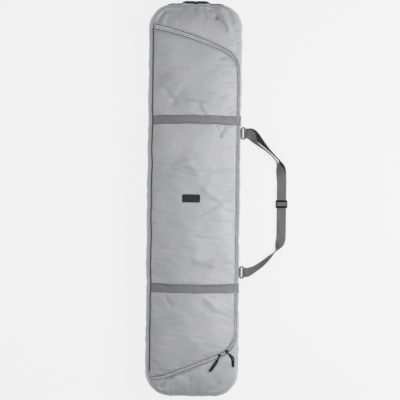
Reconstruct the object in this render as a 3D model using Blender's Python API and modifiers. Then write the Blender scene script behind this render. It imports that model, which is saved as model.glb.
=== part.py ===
"""A snowboard bag lying on its back: a soft shell with a long zipped front flap and a shoulder strap.

The frame is in metres.  The origin is the middle of the flat underside of the back panel, +Z goes
up out of the front, +Y runs to the head end with the haul handle, and +X goes to the side that the
shoulder strap hangs on.
"""
import math

import bmesh
import bpy
import numpy as np
from mathutils import Matrix, Vector

# driving dimensions
HALF_WIDTH = 0.172  # front seam ring, from the middle to the side seams
HALF_LENGTH = 0.782  # front seam ring, from the middle to the end seams
CORNER_RADIUS = 0.085  # plan radius of the four corners of the seam ring
SEAM_HEIGHT = 0.102  # height of the front seam ring
CROWN = 0.030  # how far the middle of the front stands above its seams
BULGE = 0.015  # how far the gusset swells beyond the seam ring
WALL = 0.003  # fabric with its lining, as one solid wall
GAP = 0.0003  # between neighbours that touch
SEAM_GAP = 0.0025  # room for the piping in a seam

TAPE_WIDTH = 0.0085  # one half of the zipper
TAPE_THICK = 0.0012
COIL_WIDTH = 0.0030
COIL_THICK = 0.0020
ZIP_CLEAR = 0.0010  # between the tapes and the hemmed panels beside them
ZIP_BEND = 0.112  # plan radius where the zipper turns from an end into the side
ZIP_HEAD_START = (-0.1690, 0.7035)
ZIP_HEAD_HEADING = -13.0  # degrees from +X where the zipper leaves the hinge seam
ZIP_HEAD_BOW = 1.577  # radius of the long shallow bow across the head end
ZIP_HEAD_BOW_TURN = 10.6  # degrees that the bow turns through
ZIP_FOOT_END_Y = -0.7265
ZIP_FOOT_SLOPE = 21.8  # degrees
ZIP_MARGIN_HEAD = 0.006  # where the tapes end short of the hinge seam
ZIP_MARGIN_FOOT = 0.013
ZIP_FOOT_HEADING = 7.0  # on the short stretch beside the hinge seam
ZIP_FOOT_LEAD = 0.042  # short stretch square to the hinge seam
ZIP_FOOT_LEAD_BEND = 0.022  # length of the bend after it

WEB_WIDTH = 0.038
WEB_THICK = 0.0018
BAND_HEAD_Y = 0.3220
BAND_FOOT_Y = -0.3560
BAND_BOW = 0.004  # how far the bands curve towards the ends over the crown

RING_WIRE = 0.0020  # radius of the rings' wire
RING_HALF_SPAN = 0.0225
RING_DEPTH = 0.0140  # from the bar in the chape to the bar in the strap
RING_X = HALF_WIDTH + BULGE + 0.0052
RING_Z = 0.060
RING_HEAD_Y = 0.2735
RING_FOOT_Y = -0.2930
CHAPE_WIDTH = 0.0360
CHAPE_LENGTH = 0.0330
CHAPE_LEAN = 6.5  # degrees that the chape's tail leans in with the gusset
LOOP_CLEAR = 0.0005  # between the wire and the webbing round it

STRAP_X = 0.3600  # straight stretch of the strap, where the adjuster slides
STRAP_Z = 0.0073
GLIDE_Y = -0.0130
GLIDE_HALF_WIDTH = 0.0235
GLIDE_HALF_LENGTH = 0.0155
GLIDE_BAR = 0.0052
TAIL_LENGTH = 0.034  # sewn end of the strap, which rides with the adjuster

HANDLE_WIDTH = 0.030
HANDLE_HALF_SPAN = 0.078  # from its middle to the patches that it's sewn under
HANDLE_STAND_OFF = 0.0078  # finger room between the handle's middle and the bag
HANDLE_DROOP = 0.010  # how far its middle sags
HANDLE_Z = 0.058
PATCH_LENGTH = 0.030

SLIDER_LENGTH = 0.0130
SLIDER_WIDTH = 0.0090
SLIDER_HEIGHT = 0.0030
SLIDER_LIFT = 0.0008  # clearance over the tapes
BRIDGE_HEIGHT = 0.0040
PULL_CORD_RADIUS = 0.0014

PARTS = "snowboard_bag"
COLOURS = {
    "shell_fabric": ((0.42, 0.42, 0.43), 0.55, 0.0),
    "webbing": ((0.19, 0.19, 0.20), 0.85, 0.0),
    "black_webbing": ((0.02, 0.02, 0.02), 0.85, 0.0),
    "zipper_tape": ((0.36, 0.36, 0.38), 0.80, 0.0),
    "coil": ((0.30, 0.30, 0.32), 0.45, 0.0),
    "hardware": ((0.02, 0.02, 0.02), 0.40, 0.0),
    "zipper_metal": ((0.05, 0.05, 0.05), 0.35, 0.9),
    "piping": ((0.13, 0.13, 0.14), 0.75, 0.0),
}


# ---------------------------------------------------------------- scene helpers
def clear_scene():
    for obj in list(bpy.data.objects):
        bpy.data.objects.remove(obj, do_unlink=True)


def make_collection(name):
    collection = bpy.data.collections.new(name)
    bpy.context.scene.collection.children.link(collection)
    return collection


def material(name):
    existing = bpy.data.materials.get(name)
    if existing:
        return existing
    colour, roughness, metallic = COLOURS[name]
    made = bpy.data.materials.new(name)
    made.use_nodes = True
    shader = made.node_tree.nodes["Principled BSDF"]
    shader.inputs["Base Color"].default_value = (*colour, 1.0)
    shader.inputs["Roughness"].default_value = roughness
    shader.inputs["Metallic"].default_value = metallic
    return made


def add_object(name, data, slot, matrix=None):
    data.materials.append(material(slot))
    obj = bpy.data.objects.new(name, data)
    bpy.data.collections[PARTS].objects.link(obj)
    if matrix is not None:
        obj.matrix_world = matrix
    return obj


def pivot(name, place, *pieces):
    """An empty on a joint's axis, which the moving pieces are parented to."""
    empty = bpy.data.objects.new(name, None)
    bpy.data.collections[PARTS].objects.link(empty)
    empty.empty_display_size = 0.02
    empty.matrix_world = Matrix.Translation(place)
    bpy.context.view_layer.update()
    for piece in pieces:
        piece.parent = empty
        piece.matrix_parent_inverse = empty.matrix_world.inverted()
    return empty


# ---------------------------------------------------------------- shape of the bag
def front_height(x, y):
    """Height of the front's outer face over a point of the plan."""
    across = max(0.0, 1.0 - (x / HALF_WIDTH) ** 2)
    along = max(0.0, 1.0 - (y / HALF_LENGTH) ** 12)
    return SEAM_HEIGHT + CROWN * across * along


def gusset_section(samples=61):
    """The side's outer face as arc length, distance out and height, from front seam to back seam."""
    share = np.linspace(0.0, 1.0, samples)
    bottom = WALL + GAP
    out = BULGE * 4.0 * share * (1.0 - share)
    height = SEAM_HEIGHT + (bottom - SEAM_HEIGHT) * share
    steps = np.hypot(np.diff(out), np.diff(height))
    return np.concatenate([[0.0], np.cumsum(steps)]), out, height


ARC, OUT, HEIGHT = gusset_section()
GUSSET_DEPTH = ARC[-1]


def side_point(place, outward, arc, sink=0.0):
    """A point of the gusset at a station of the seam ring, sunk below its outer face."""
    out = np.interp(arc, ARC, OUT)
    height = np.interp(arc, ARC, HEIGHT)
    step = 0.0005
    rise = np.interp(arc + step, ARC, HEIGHT) - np.interp(arc - step, ARC, HEIGHT)
    run = np.interp(arc + step, ARC, OUT) - np.interp(arc - step, ARC, OUT)
    size = math.hypot(rise, run)
    out -= sink * -rise / size
    height -= sink * run / size
    top = front_height(place.x, place.y) - SEAM_HEIGHT
    height += top * (1.0 - arc / GUSSET_DEPTH)
    return Vector((place.x + outward.x * out, place.y + outward.y * out, height))


def shell_point(x, y, sink=0.0):
    """A point of the front, or of the strap side's gusset for a plan unrolled past the seam."""
    if x <= HALF_WIDTH:
        return Vector((x, y, front_height(x, y) - sink))
    return side_point(Vector((HALF_WIDTH, y, 0)), Vector((1, 0, 0)), x - HALF_WIDTH, sink)


def ring_station(distance):
    """Place and outward direction on the seam ring, measured from (HALF_WIDTH, 0) towards the head."""
    side = HALF_LENGTH - CORNER_RADIUS
    end = HALF_WIDTH - CORNER_RADIUS
    bend = CORNER_RADIUS * math.pi / 2
    quarter = side + bend + end
    quadrant, rest = divmod(distance, 2 * quarter)
    flipped = rest > quarter
    if flipped:
        rest = 2 * quarter - rest
    if rest <= side:
        x, y, angle = HALF_WIDTH, rest, 0.0
    elif rest <= side + bend:
        angle = (rest - side) / CORNER_RADIUS
        x = end + CORNER_RADIUS * math.cos(angle)
        y = side + CORNER_RADIUS * math.sin(angle)
    else:
        angle = math.pi / 2
        x, y = quarter - rest, HALF_LENGTH
    sign_x = -1.0 if flipped else 1.0
    turn = -1.0 if int(quadrant) % 2 else 1.0
    place = Vector((sign_x * x * turn, y * turn, 0.0))
    return place, Vector((sign_x * math.cos(angle) * turn, math.sin(angle) * turn, 0.0))


RING_QUARTER = (
    HALF_LENGTH - CORNER_RADIUS + CORNER_RADIUS * math.pi / 2 + HALF_WIDTH - CORNER_RADIUS
)


# ---------------------------------------------------------------- the zipper's path
def walk(start, heading, legs):
    """Points and headings along straight and curved legs: (length, turn in degrees)."""
    place = Vector((start[0], start[1]))
    points, headings = [place.copy()], [math.radians(heading)]
    for length, turn in legs:
        steps = max(1, round(abs(turn) / 9.0)) if turn else max(1, round(length / 0.12))
        for _ in range(steps):
            bend = math.radians(turn) / steps
            middle = headings[-1] + bend / 2
            chord = length / steps
            if turn:
                chord *= math.sin(abs(bend) / 2) / (abs(bend) / 2)
            place = place + chord * Vector((math.cos(middle), math.sin(middle)))
            points.append(place.copy())
            headings.append(headings[-1] + bend)
    return points, headings


def zipper_path():
    """From the hinge seam across the head, down the strap side and back across the foot.

    The side stretch lies past the seam, on the gusset, by one half of the zipper."""
    side_x = HALF_WIDTH + TAPE_WIDTH
    bow = (ZIP_HEAD_BOW * math.radians(ZIP_HEAD_BOW_TURN), -ZIP_HEAD_BOW_TURN)
    head_turn = 90.0 + ZIP_HEAD_HEADING - ZIP_HEAD_BOW_TURN
    head_slope = math.radians(ZIP_HEAD_HEADING - ZIP_HEAD_BOW_TURN)
    head_bend = ZIP_BEND * math.radians(head_turn)
    bowed, _ = walk(ZIP_HEAD_START, ZIP_HEAD_HEADING, [bow])
    bend_run = ZIP_BEND * (1.0 - math.sin(-head_slope))
    reach = (side_x - bend_run - bowed[-1].x) / math.cos(head_slope)
    legs = [bow, (reach, 0), (head_bend, -head_turn)]
    points, headings = walk(ZIP_HEAD_START, ZIP_HEAD_HEADING, legs)
    # the foot end is laid out from the hinge seam in the same way, then reversed
    start = (ZIP_HEAD_START[0], ZIP_FOOT_END_Y)
    lead_turn = ZIP_FOOT_SLOPE - ZIP_FOOT_HEADING
    foot = [(ZIP_FOOT_LEAD, 0), (ZIP_FOOT_LEAD_BEND, lead_turn)]
    lead, _ = walk(start, ZIP_FOOT_HEADING, foot)
    foot_slope = math.radians(ZIP_FOOT_SLOPE)
    bend_run = ZIP_BEND * (1.0 - math.sin(foot_slope))
    reach = (side_x - bend_run - lead[-1].x) / math.cos(foot_slope)
    foot_turn = 90.0 - ZIP_FOOT_SLOPE
    foot += [(reach, 0), (ZIP_BEND * math.radians(foot_turn), foot_turn)]
    foot_points, foot_headings = walk(start, ZIP_FOOT_HEADING, foot)
    side = points[-1].y - foot_points[-1].y
    stretch, straight = walk(points[-1], -90.0, [(side, 0)])
    points += stretch[1:-1]
    headings += straight[1:-1]
    points += foot_points[::-1]
    headings += [angle - math.pi for angle in foot_headings[::-1]]
    return points, headings


ZIP_POINTS, ZIP_HEADINGS = zipper_path()
ZIP_LENGTHS = np.concatenate(
    [[0.0], np.cumsum([(b - a).length for a, b in zip(ZIP_POINTS, ZIP_POINTS[1:])])]
)


def zip_offset(offset):
    """The zipper's path shifted sideways; a positive shift is towards the bag's ends and side."""
    return [
        Vector((p.x - math.sin(h) * offset, p.y + math.cos(h) * offset))
        for p, h in zip(ZIP_POINTS, ZIP_HEADINGS)
    ]


def zip_at(length, offset=0.0):
    """Place and heading at a length along the path."""
    x = np.interp(length, ZIP_LENGTHS, [p.x for p in ZIP_POINTS])
    y = np.interp(length, ZIP_LENGTHS, [p.y for p in ZIP_POINTS])
    heading = np.interp(length, ZIP_LENGTHS, ZIP_HEADINGS)
    return x - math.sin(heading) * offset, y + math.cos(heading) * offset, heading


def zip_length_near(x, y):
    samples = np.linspace(0.0, ZIP_LENGTHS[-1], 4001)
    places = np.array([zip_at(s)[:2] for s in samples])
    return samples[np.argmin(np.hypot(places[:, 0] - x, places[:, 1] - y))]


# ---------------------------------------------------------------- solid builders
def sheet_solid(name, place, columns, rows, thick, slot, flip=False):
    """A grid laid on a surface, place(u, w) for u and w from 0 to 1, thickened inwards."""
    bm = bmesh.new()
    bmesh.ops.create_grid(bm, x_segments=columns, y_segments=rows, size=0.5)
    for vertex in bm.verts:
        vertex.co = place(vertex.co.x + 0.5, vertex.co.y + 0.5)
    if flip:
        bmesh.ops.reverse_faces(bm, faces=bm.faces)
    mesh = bpy.data.meshes.new(name)
    bm.to_mesh(mesh)
    bm.free()
    mesh.shade_smooth()
    obj = add_object(name, mesh, slot)
    solid = obj.modifiers.new("wall", "SOLIDIFY")
    solid.thickness = thick
    solid.offset = -1.0
    return obj


def strip_solid(name, stations, width, thick, slot):
    """A strap swept along stations of place and width direction, with a rectangular section."""
    bm = bmesh.new()
    rings = []
    for index, (place, across) in enumerate(stations):
        before = stations[max(0, index - 1)][0]
        after = stations[min(len(stations) - 1, index + 1)][0]
        along = (after - before).normalized()
        across = (across - along * across.dot(along)).normalized()
        normal = along.cross(across)
        corners = [(-1, -1), (1, -1), (1, 1), (-1, 1)]
        ring = [
            bm.verts.new(place + across * (width / 2 * a) + normal * (thick / 2 * b))
            for a, b in corners
        ]
        rings.append(ring)
    for ring, after in zip(rings, rings[1:]):
        for k in range(4):
            bm.faces.new((ring[k], ring[(k + 1) % 4], after[(k + 1) % 4], after[k]))
    bm.faces.new(rings[0][::-1])
    bm.faces.new(rings[-1])
    bmesh.ops.recalc_face_normals(bm, faces=bm.faces)
    mesh = bpy.data.meshes.new(name)
    bm.to_mesh(mesh)
    bm.free()
    return add_object(name, mesh, slot)


def smooth_route(points, count):
    """Points read from a Catmull-Rom curve through a route's own points."""
    rows = np.array(points, dtype=float)
    padded = np.vstack([2 * rows[0] - rows[1], rows, 2 * rows[-1] - rows[-2]])
    spans = len(rows) - 1
    route = []
    for value in np.linspace(0.0, spans, count):
        k = min(int(value), spans - 1)
        t = value - k
        a, b, c, d = padded[k : k + 4]
        point = 0.5 * (
            2 * b + (c - a) * t + (2 * a - 5 * b + 4 * c - d) * t**2 + (3 * b - a - 3 * c + d) * t**3
        )
        route.append(point)
    return route


def tube_solid(name, points, radius, slot, cyclic=False, resolution=1):
    """A round bar, wire or cord along points."""
    curve = bpy.data.curves.new(name, "CURVE")
    curve.dimensions = "3D"
    curve.bevel_depth = radius
    curve.bevel_resolution = resolution
    curve.use_fill_caps = not cyclic
    spline = curve.splines.new("POLY")
    spline.points.add(len(points) - 1)
    for target, point in zip(spline.points, points):
        target.co = (*point, 1.0)
    spline.use_cyclic_u = cyclic
    return add_object(name, curve, slot)


def plate_solid(name, outlines, thick, slot, matrix):
    """A flat outline, with holes if more than one loop is given, of a thickness about its plane."""
    curve = bpy.data.curves.new(name, "CURVE")
    curve.dimensions = "2D"
    curve.fill_mode = "BOTH"
    curve.extrude = thick / 2
    for outline in outlines:
        spline = curve.splines.new("POLY")
        spline.points.add(len(outline) - 1)
        for target, point in zip(spline.points, outline):
            target.co = (point[0], point[1], 0.0, 1.0)
        spline.use_cyclic_u = True
    return add_object(name, curve, slot, matrix)


def box_solid(name, size, slot, matrix, bevel):
    bm = bmesh.new()
    bmesh.ops.create_cube(bm, size=1.0, matrix=Matrix.Diagonal((*size, 1.0)))
    mesh = bpy.data.meshes.new(name)
    bm.to_mesh(mesh)
    bm.free()
    obj = add_object(name, mesh, slot, matrix)
    edge = obj.modifiers.new("edges", "BEVEL")
    edge.width = bevel
    edge.segments = 2
    return obj


def arc_points(centre, radius, start, end, steps):
    angles = [math.radians(start + (end - start) * k / steps) for k in range(steps + 1)]
    return [
        (centre[0] + radius * math.cos(a), centre[1] + radius * math.sin(a)) for a in angles
    ]


def rounded_rectangle(half_x, half_y, radius, steps):
    corners = [(1, 1, 0), (-1, 1, 90), (-1, -1, 180), (1, -1, 270)]
    points = []
    for sign_x, sign_y, start in corners:
        centre = (sign_x * (half_x - radius), sign_y * (half_y - radius))
        points += arc_points(centre, radius, start, start + 90, steps)
    return points


# ---------------------------------------------------------------- shell
def make_back_panel():
    outline = rounded_rectangle(HALF_WIDTH + WALL, HALF_LENGTH + WALL, CORNER_RADIUS, 8)
    place = Matrix.Translation((0.0, 0.0, WALL / 2))
    return plate_solid("back_panel", [outline], WALL, "shell_fabric", place)


def zip_edge(offset):
    """Unrolled head and foot branches of a line beside the zipper, as y over x."""
    line = zip_offset(offset)
    middle = max(range(len(line)), key=lambda k: line[k].x)
    head = line[: middle + 1]
    foot = line[middle:][::-1]
    return head, foot


def side_top(y):
    """How far down the strap side's gusset starts, to leave room for the zipper."""
    head, foot = zip_edge(TAPE_WIDTH + ZIP_CLEAR)
    branch = head if y > 0 else foot
    ys = [p.y for p in branch]
    xs = [p.x for p in branch]
    order = np.argsort(ys)
    reach = np.interp(y, np.array(ys)[order], np.array(xs)[order])
    return max(SEAM_GAP, reach - HALF_WIDTH + 0.0015)


SIDE_END_HEAD = 0.640  # where the strap side's gusset meets the head and foot gussets
SIDE_END_FOOT = -0.640


def gusset_solid(name, start, end, columns, top, crowd=0.0):
    """A wall between two distances round the seam ring; its columns may crowd to its ends."""

    def place(u, w):
        u -= crowd * math.sin(2 * math.pi * u) / (2 * math.pi)
        station, outward = ring_station(start + (end - start) * u)
        begin = top(station.y)
        arc = begin + (GUSSET_DEPTH - 0.0005 - begin) * w
        return side_point(station, outward, arc)

    return sheet_solid(name, place, columns, 7, WALL, "shell_fabric", flip=True)


def make_gussets():
    half_turn = 2 * RING_QUARTER
    side = HALF_LENGTH - CORNER_RADIUS
    full_turn = 2 * half_turn
    gusset_solid("right_gusset", SIDE_END_FOOT + GAP, SIDE_END_HEAD - GAP, 30, side_top, 0.9)
    edge = [SIDE_END_HEAD, half_turn - side + 0.02, half_turn + side - 0.02]
    gusset_solid("head_gusset", edge[0], edge[1] - GAP, 26, lambda y: SEAM_GAP)
    gusset_solid("left_gusset", edge[1], edge[2], 12, lambda y: SEAM_GAP)
    gusset_solid(
        "foot_gusset", edge[2] + GAP, full_turn + SIDE_END_FOOT, 26, lambda y: SEAM_GAP
    )


def ring_half_width(y):
    """Half the width of the seam ring at a height of the plan."""
    past = min(max(0.0, abs(y) - (HALF_LENGTH - CORNER_RADIUS)), CORNER_RADIUS)
    return HALF_WIDTH - CORNER_RADIUS + math.sqrt(CORNER_RADIUS**2 - past**2)


def nearest_ring_distance(x, y):
    distances = np.linspace(0.0, 4 * RING_QUARTER, 8001)[:-1]
    return min(distances, key=lambda d: (ring_station(d)[0] - Vector((x, y, 0.0))).length)


def yoke_solid(name, sign):
    """The fixed corner of the front between the zipper and an end of the bag."""
    line = zip_edge(TAPE_WIDTH + ZIP_CLEAR)[0 if sign > 0 else 1]
    lengths = np.concatenate([[0.0], np.cumsum([(b - a).length for a, b in zip(line, line[1:])])])
    fine = [
        (np.interp(s, lengths, [p.x for p in line]), np.interp(s, lengths, [p.y for p in line]))
        for s in np.linspace(0.0, lengths[-1], 400)
    ]
    inset = SEAM_GAP + 0.0008
    edge = [p for p in fine if abs(p[0]) <= ring_half_width(p[1]) - inset]
    ends = [nearest_ring_distance(*edge[k]) for k in (0, -1)]
    if sign < 0:
        ends[1] = ends[1] if ends[1] > ends[0] else ends[1] + 4 * RING_QUARTER
    start, finish = ends
    step = 0.004 if finish > start else -0.004

    def place(u, w):
        x, y = (np.interp(u * (len(edge) - 1), range(len(edge)), axis) for axis in zip(*edge))
        station, outward = ring_station(start + step + (finish - start - 2 * step) * u)
        rim = station - outward * inset
        return shell_point(x + (rim.x - x) * w, y + (rim.y - y) * w)

    return sheet_solid(name, place, 24, 7, WALL, "shell_fabric", flip=sign < 0)


def piping_points(start, end, count):
    points = []
    for k in range(count + 1):
        station, _ = ring_station(start + (end - start) * k / count)
        points.append((station.x, station.y, front_height(station.x, station.y) + 0.0008))
    return points


def make_piping():
    """Bound seams: one under the flap's hinge line, and one round each end."""
    half_turn = 2 * RING_QUARTER
    radius = SEAM_GAP - 2 * GAP
    head, foot = zip_edge(TAPE_WIDTH + ZIP_CLEAR)
    side = HALF_LENGTH - CORNER_RADIUS
    hinge_head = half_turn - side
    hinge_foot = half_turn + side
    cross = [
        next(p.y for p in branch if p.x > HALF_WIDTH - SEAM_GAP - radius) for branch in (head, foot)
    ]
    tube_solid("hinge_piping", piping_points(hinge_head, hinge_foot, 10), radius, "piping")
    tube_solid(
        "head_piping", piping_points(cross[0] + 0.012, hinge_head - GAP, 40), radius, "piping"
    )
    end = 2 * half_turn + cross[1] - 0.012
    tube_solid("foot_piping", piping_points(hinge_foot + GAP, end, 40), radius, "piping")


def tape_solid(name, near, far, sink, thick, slot):
    """A strip of the zipper between two offsets from its path."""
    start, end = ZIP_MARGIN_HEAD, ZIP_LENGTHS[-1] - ZIP_MARGIN_FOOT
    lengths = [start, *[s for s in ZIP_LENGTHS if start + 0.002 < s < end - 0.002], end]

    def place(u, w):
        length = lengths[round(u * (len(lengths) - 1))]
        x, y, _ = zip_at(length, near + (far - near) * w)
        return shell_point(x, y, sink)

    return sheet_solid(name, place, len(lengths) - 1, 1, thick, slot, flip=far < near)


def make_zipper():
    inner = GAP
    sink = 0.0006
    tapes = {}
    for half, sign in (("body", 1), ("flap", -1)):
        tapes[half] = tape_solid(
            f"zipper_tape_{half}",
            sign * (COIL_WIDTH + 2 * GAP),
            sign * TAPE_WIDTH,
            sink,
            TAPE_THICK,
            "zipper_tape",
        )
        tapes[half + "_coil"] = tape_solid(
            f"zipper_coil_{half}",
            sign * inner,
            sign * COIL_WIDTH,
            sink,
            COIL_THICK,
            "coil",
        )
    return tapes


def surface_frame(length, lift, offset=0.0):
    """A frame on the zipper: X along it towards the foot's hinge end, Z out of the surface."""
    x, y, heading = zip_at(length, offset)
    step = 0.004
    here = shell_point(x, y)
    ahead = shell_point(*zip_at(length + step, offset)[:2]) - shell_point(
        *zip_at(length - step, offset)[:2]
    )
    across = shell_point(*zip_at(length, offset + step)[:2]) - shell_point(
        *zip_at(length, offset - step)[:2]
    )
    ahead.normalize()
    up = ahead.cross(across).normalized()
    across = up.cross(ahead)
    turn = Matrix((ahead, across, up)).transposed().to_4x4()
    return Matrix.Translation(here + up * lift) @ turn


def make_stops():
    """Moulded stops over the two ends of the coil."""
    size = (0.005, 0.0072, 0.0016)
    ends = (
        ("zipper_stop_head", ZIP_MARGIN_HEAD + 0.005),
        ("zipper_stop_foot", ZIP_LENGTHS[-1] - ZIP_MARGIN_FOOT - 0.005),
    )
    for name, length in ends:
        frame = surface_frame(length, 0.0008 + GAP, 0.0046)
        box_solid(name, size, "coil", frame, 0.0004)


def band_line(y, x):
    """Height along Y of a band's middle where it crosses the front."""
    lean = BAND_BOW * (1.0 - (x / HALF_WIDTH) ** 2)
    return y + math.copysign(lean, y)


def make_bands():
    bands = []
    for end, y in (("upper", BAND_HEAD_Y), ("lower", BAND_FOOT_Y)):
        inset = SEAM_GAP + 0.0018

        def front(u, w, y=y):
            x = -HALF_WIDTH + inset + (2 * HALF_WIDTH - inset - 0.001) * u
            place = band_line(y, x) + WEB_WIDTH * (w - 0.5)
            return shell_point(x, place, -(GAP + WEB_THICK))

        bands.append(sheet_solid(f"front_band_{end}", front, 14, 1, WEB_THICK, "webbing"))

        def side(u, w, y=y):
            begin = 2 * TAPE_WIDTH + 0.004
            arc = begin + (GUSSET_DEPTH - 0.006 - begin) * u
            place = Vector((HALF_WIDTH, y + WEB_WIDTH * (w - 0.5), 0.0))
            return side_point(place, Vector((1, 0, 0)), arc, -(GAP + WEB_THICK))

        sheet_solid(f"side_band_{end}", side, 9, 1, WEB_THICK, "webbing")
    return bands


def make_flap():
    head, foot = zip_edge(-TAPE_WIDTH - ZIP_CLEAR)
    left = -HALF_WIDTH + SEAM_GAP
    right = HALF_WIDTH - 0.0024
    head_x, head_y = [p.x for p in head], [p.y for p in head]
    foot_x, foot_y = [p.x for p in foot], [p.y for p in foot]

    def place(u, w):
        # columns crowd towards the strap side, where the outline turns
        x = left + (right - left) * math.sin(u * math.pi / 2) ** 0.9
        top = np.interp(x, head_x, head_y)
        bottom = np.interp(x, foot_x, foot_y)
        y = bottom + (top - bottom) * w
        inset = HALF_WIDTH - ring_half_width(y)
        return shell_point(x + 1.4 * inset * (1.0 - u) ** 6, y)

    return sheet_solid("front_flap", place, 20, 22, WALL, "shell_fabric")


# ---------------------------------------------------------------- sliders and pulls
SLIDER_LEFT = zip_length_near(0.1113, -0.627)
SLIDER_RIGHT = zip_length_near(0.1397, -0.610)
PULL_LEFT = [(-0.0010, -0.0060), (-0.0085, -0.0190), (-0.0240, -0.0430), (-0.0390, -0.0640)]
PULL_RIGHT = [(0.0020, -0.0060), (0.0120, -0.0150), (0.0235, -0.0320), (0.0270, -0.0640)]


def bridge_points(length, rise):
    return [
        (-length / 2, 0.0, 0.0),
        (-length / 2, 0.0, rise * 0.6),
        (-length / 4, 0.0, rise),
        (length / 4, 0.0, rise),
        (length / 2, 0.0, rise * 0.6),
        (length / 2, 0.0, 0.0),
    ]


def make_slider(side, length):
    """A slider with its bridge, and the place on the bridge where the pull hangs."""
    base = surface_frame(length, SLIDER_LIFT)
    body = box_solid(
        f"slider_{side}_body",
        (SLIDER_LENGTH, SLIDER_WIDTH, SLIDER_HEIGHT),
        "zipper_metal",
        base @ Matrix.Translation((0, 0, SLIDER_HEIGHT / 2)),
        0.0008,
    )
    wire = 0.0009
    seat = SLIDER_HEIGHT + GAP + wire
    local = [Vector((x, y, seat + z)) for x, y, z in bridge_points(0.0085, BRIDGE_HEIGHT - wire)]
    bridge = tube_solid(
        f"slider_{side}_bridge", [base @ p for p in local], wire, "zipper_metal", resolution=1
    )
    hinge = base @ Vector((0.0, 0.0, SLIDER_HEIGHT + GAP + BRIDGE_HEIGHT * 0.62))
    return body, bridge, hinge


def pull_route(hinge, pull):
    """The pull's course over the bag, from the slider's bridge to its free end."""
    places = []
    for x, y in pull:
        px, py = hinge.x + x, hinge.y + y
        places.append(Vector((px, py, front_height(px, py) + 0.0062)))
    places[0].z = hinge.z + 0.0008
    return places


def make_pull(side, hinge, pull):
    route = pull_route(hinge, pull)
    rows = smooth_route(route, 25)
    route = [Vector(p) for p in rows]
    tab_end, loop_end = 7, 16
    up = Vector((0, 0, 1))

    def sideways(k):
        after = route[min(k + 1, len(route) - 1)] - route[max(k - 1, 0)]
        return after.cross(up).normalized()

    tab_width = 0.0050
    tab = strip_solid(
        f"pull_{side}_tab",
        [(route[k], sideways(k)) for k in range(0, tab_end)],
        tab_width,
        0.0014,
        "zipper_metal",
    )
    spread = [
        math.sin(math.pi * (k - tab_end) / (loop_end - tab_end)) ** 0.5 * 0.0028 + 0.0016
        for k in range(tab_end, loop_end + 1)
    ]
    ring = [
        route[tab_end + k] + sideways(tab_end + k) * spread[k] for k in range(len(spread))
    ] + [
        route[loop_end - k] - sideways(loop_end - k) * spread[-1 - k] for k in range(len(spread))
    ]
    cord = tube_solid(
        f"pull_{side}_cord", ring, PULL_CORD_RADIUS, "black_webbing", cyclic=True, resolution=1
    )
    grip = tube_solid(
        f"pull_{side}_grip", route[loop_end + 1 :], 0.0026, "hardware", resolution=2
    )
    return [tab, cord, grip]


# ---------------------------------------------------------------- shoulder strap
def make_ring(name, y):
    """A rectangular wire ring lying outwards, one long bar in the chape, the other in the strap."""
    radius = 0.0045
    outline = rounded_rectangle(RING_DEPTH / 2, RING_HALF_SPAN, radius, 4)
    points = [(RING_X + RING_DEPTH / 2 + px, y + py, RING_Z) for px, py in outline]
    return tube_solid(name, points, RING_WIRE, "hardware", cyclic=True, resolution=2)


def loop_outline(length, tail_thick):
    """Section of a webbing loop: a round eye for the wire with two layers leading away from it."""
    eye = RING_WIRE + LOOP_CLEAR
    outer = eye + WEB_THICK
    half = tail_thick / 2
    start = math.degrees(math.asin(half / outer))
    ring = arc_points((0.0, 0.0), outer, -90 + start, 270 - start, 16)
    outline = ring + [(-half, -length), (half, -length)]
    hole = arc_points((0.0, 0.0), eye, 0, 360 - 360 / 12, 11)
    return [outline, hole]


def make_chape(name, y):
    """The folded webbing that ties a ring to the gusset; its tail runs down the side."""
    outlines = loop_outline(CHAPE_LENGTH, 2 * WEB_THICK)
    shift = -(RING_WIRE + LOOP_CLEAR)
    outlines[0] = [
        (px + (shift if py < -0.006 else 0.0), py) for px, py in outlines[0]
    ]
    lean = Matrix.Rotation(math.radians(CHAPE_LEAN), 4, "Y")
    turn = Matrix.Rotation(math.radians(90), 4, "X")
    place = Matrix.Translation((RING_X, y, RING_Z)) @ lean @ turn
    return plate_solid(name, outlines, CHAPE_WIDTH, "webbing", place)


def make_wrap(name, y, angle, length):
    """Webbing round a ring's outer bar, leading out at an angle from +X in the XZ plane."""
    outlines = loop_outline(length, 2 * WEB_THICK)
    turn = Matrix.Rotation(math.radians(90), 4, "X") @ Matrix.Rotation(math.radians(90 + angle), 4, "Z")
    place = Matrix.Translation((RING_X + RING_DEPTH, y, RING_Z)) @ turn
    return plate_solid(name, outlines, WEB_WIDTH - 0.001, "webbing", place)


# route of the strap: x, y, z and the tilt of its width from flat, in degrees
STRAP_ROUTE = [
    (0.2170, -0.2930, 0.0560, 6),
    (0.2290, -0.2905, 0.0500, 30),
    (0.2545, -0.2780, 0.0330, 52),
    (0.2825, -0.2590, 0.0210, 60),
    (0.3110, -0.2330, 0.0205, 72),
    (0.3370, -0.2060, 0.0205, 88),
    (0.3500, -0.1830, 0.0150, 42),
    (0.3580, -0.1620, 0.0085, 8),
    (STRAP_X, -0.1400, STRAP_Z, 0),
    (STRAP_X, -0.0700, STRAP_Z, 0),
    (STRAP_X, 0.0000, STRAP_Z, 0),
    (STRAP_X, 0.0650, STRAP_Z, 0),
    (0.3580, 0.0950, 0.0085, 8),
    (0.3520, 0.1260, 0.0152, 38),
    (0.3405, 0.1560, 0.0215, 84),
    (0.3230, 0.1800, 0.0220, 88),
    (0.2960, 0.2040, 0.0240, 86),
    (0.2690, 0.2230, 0.0330, 80),
    (0.2490, 0.2400, 0.0460, 66),
    (0.2390, 0.2540, 0.0585, 40),
    (0.2320, 0.2640, 0.0620, 14),
    (0.2225, 0.2700, 0.0615, 0),
]
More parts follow.
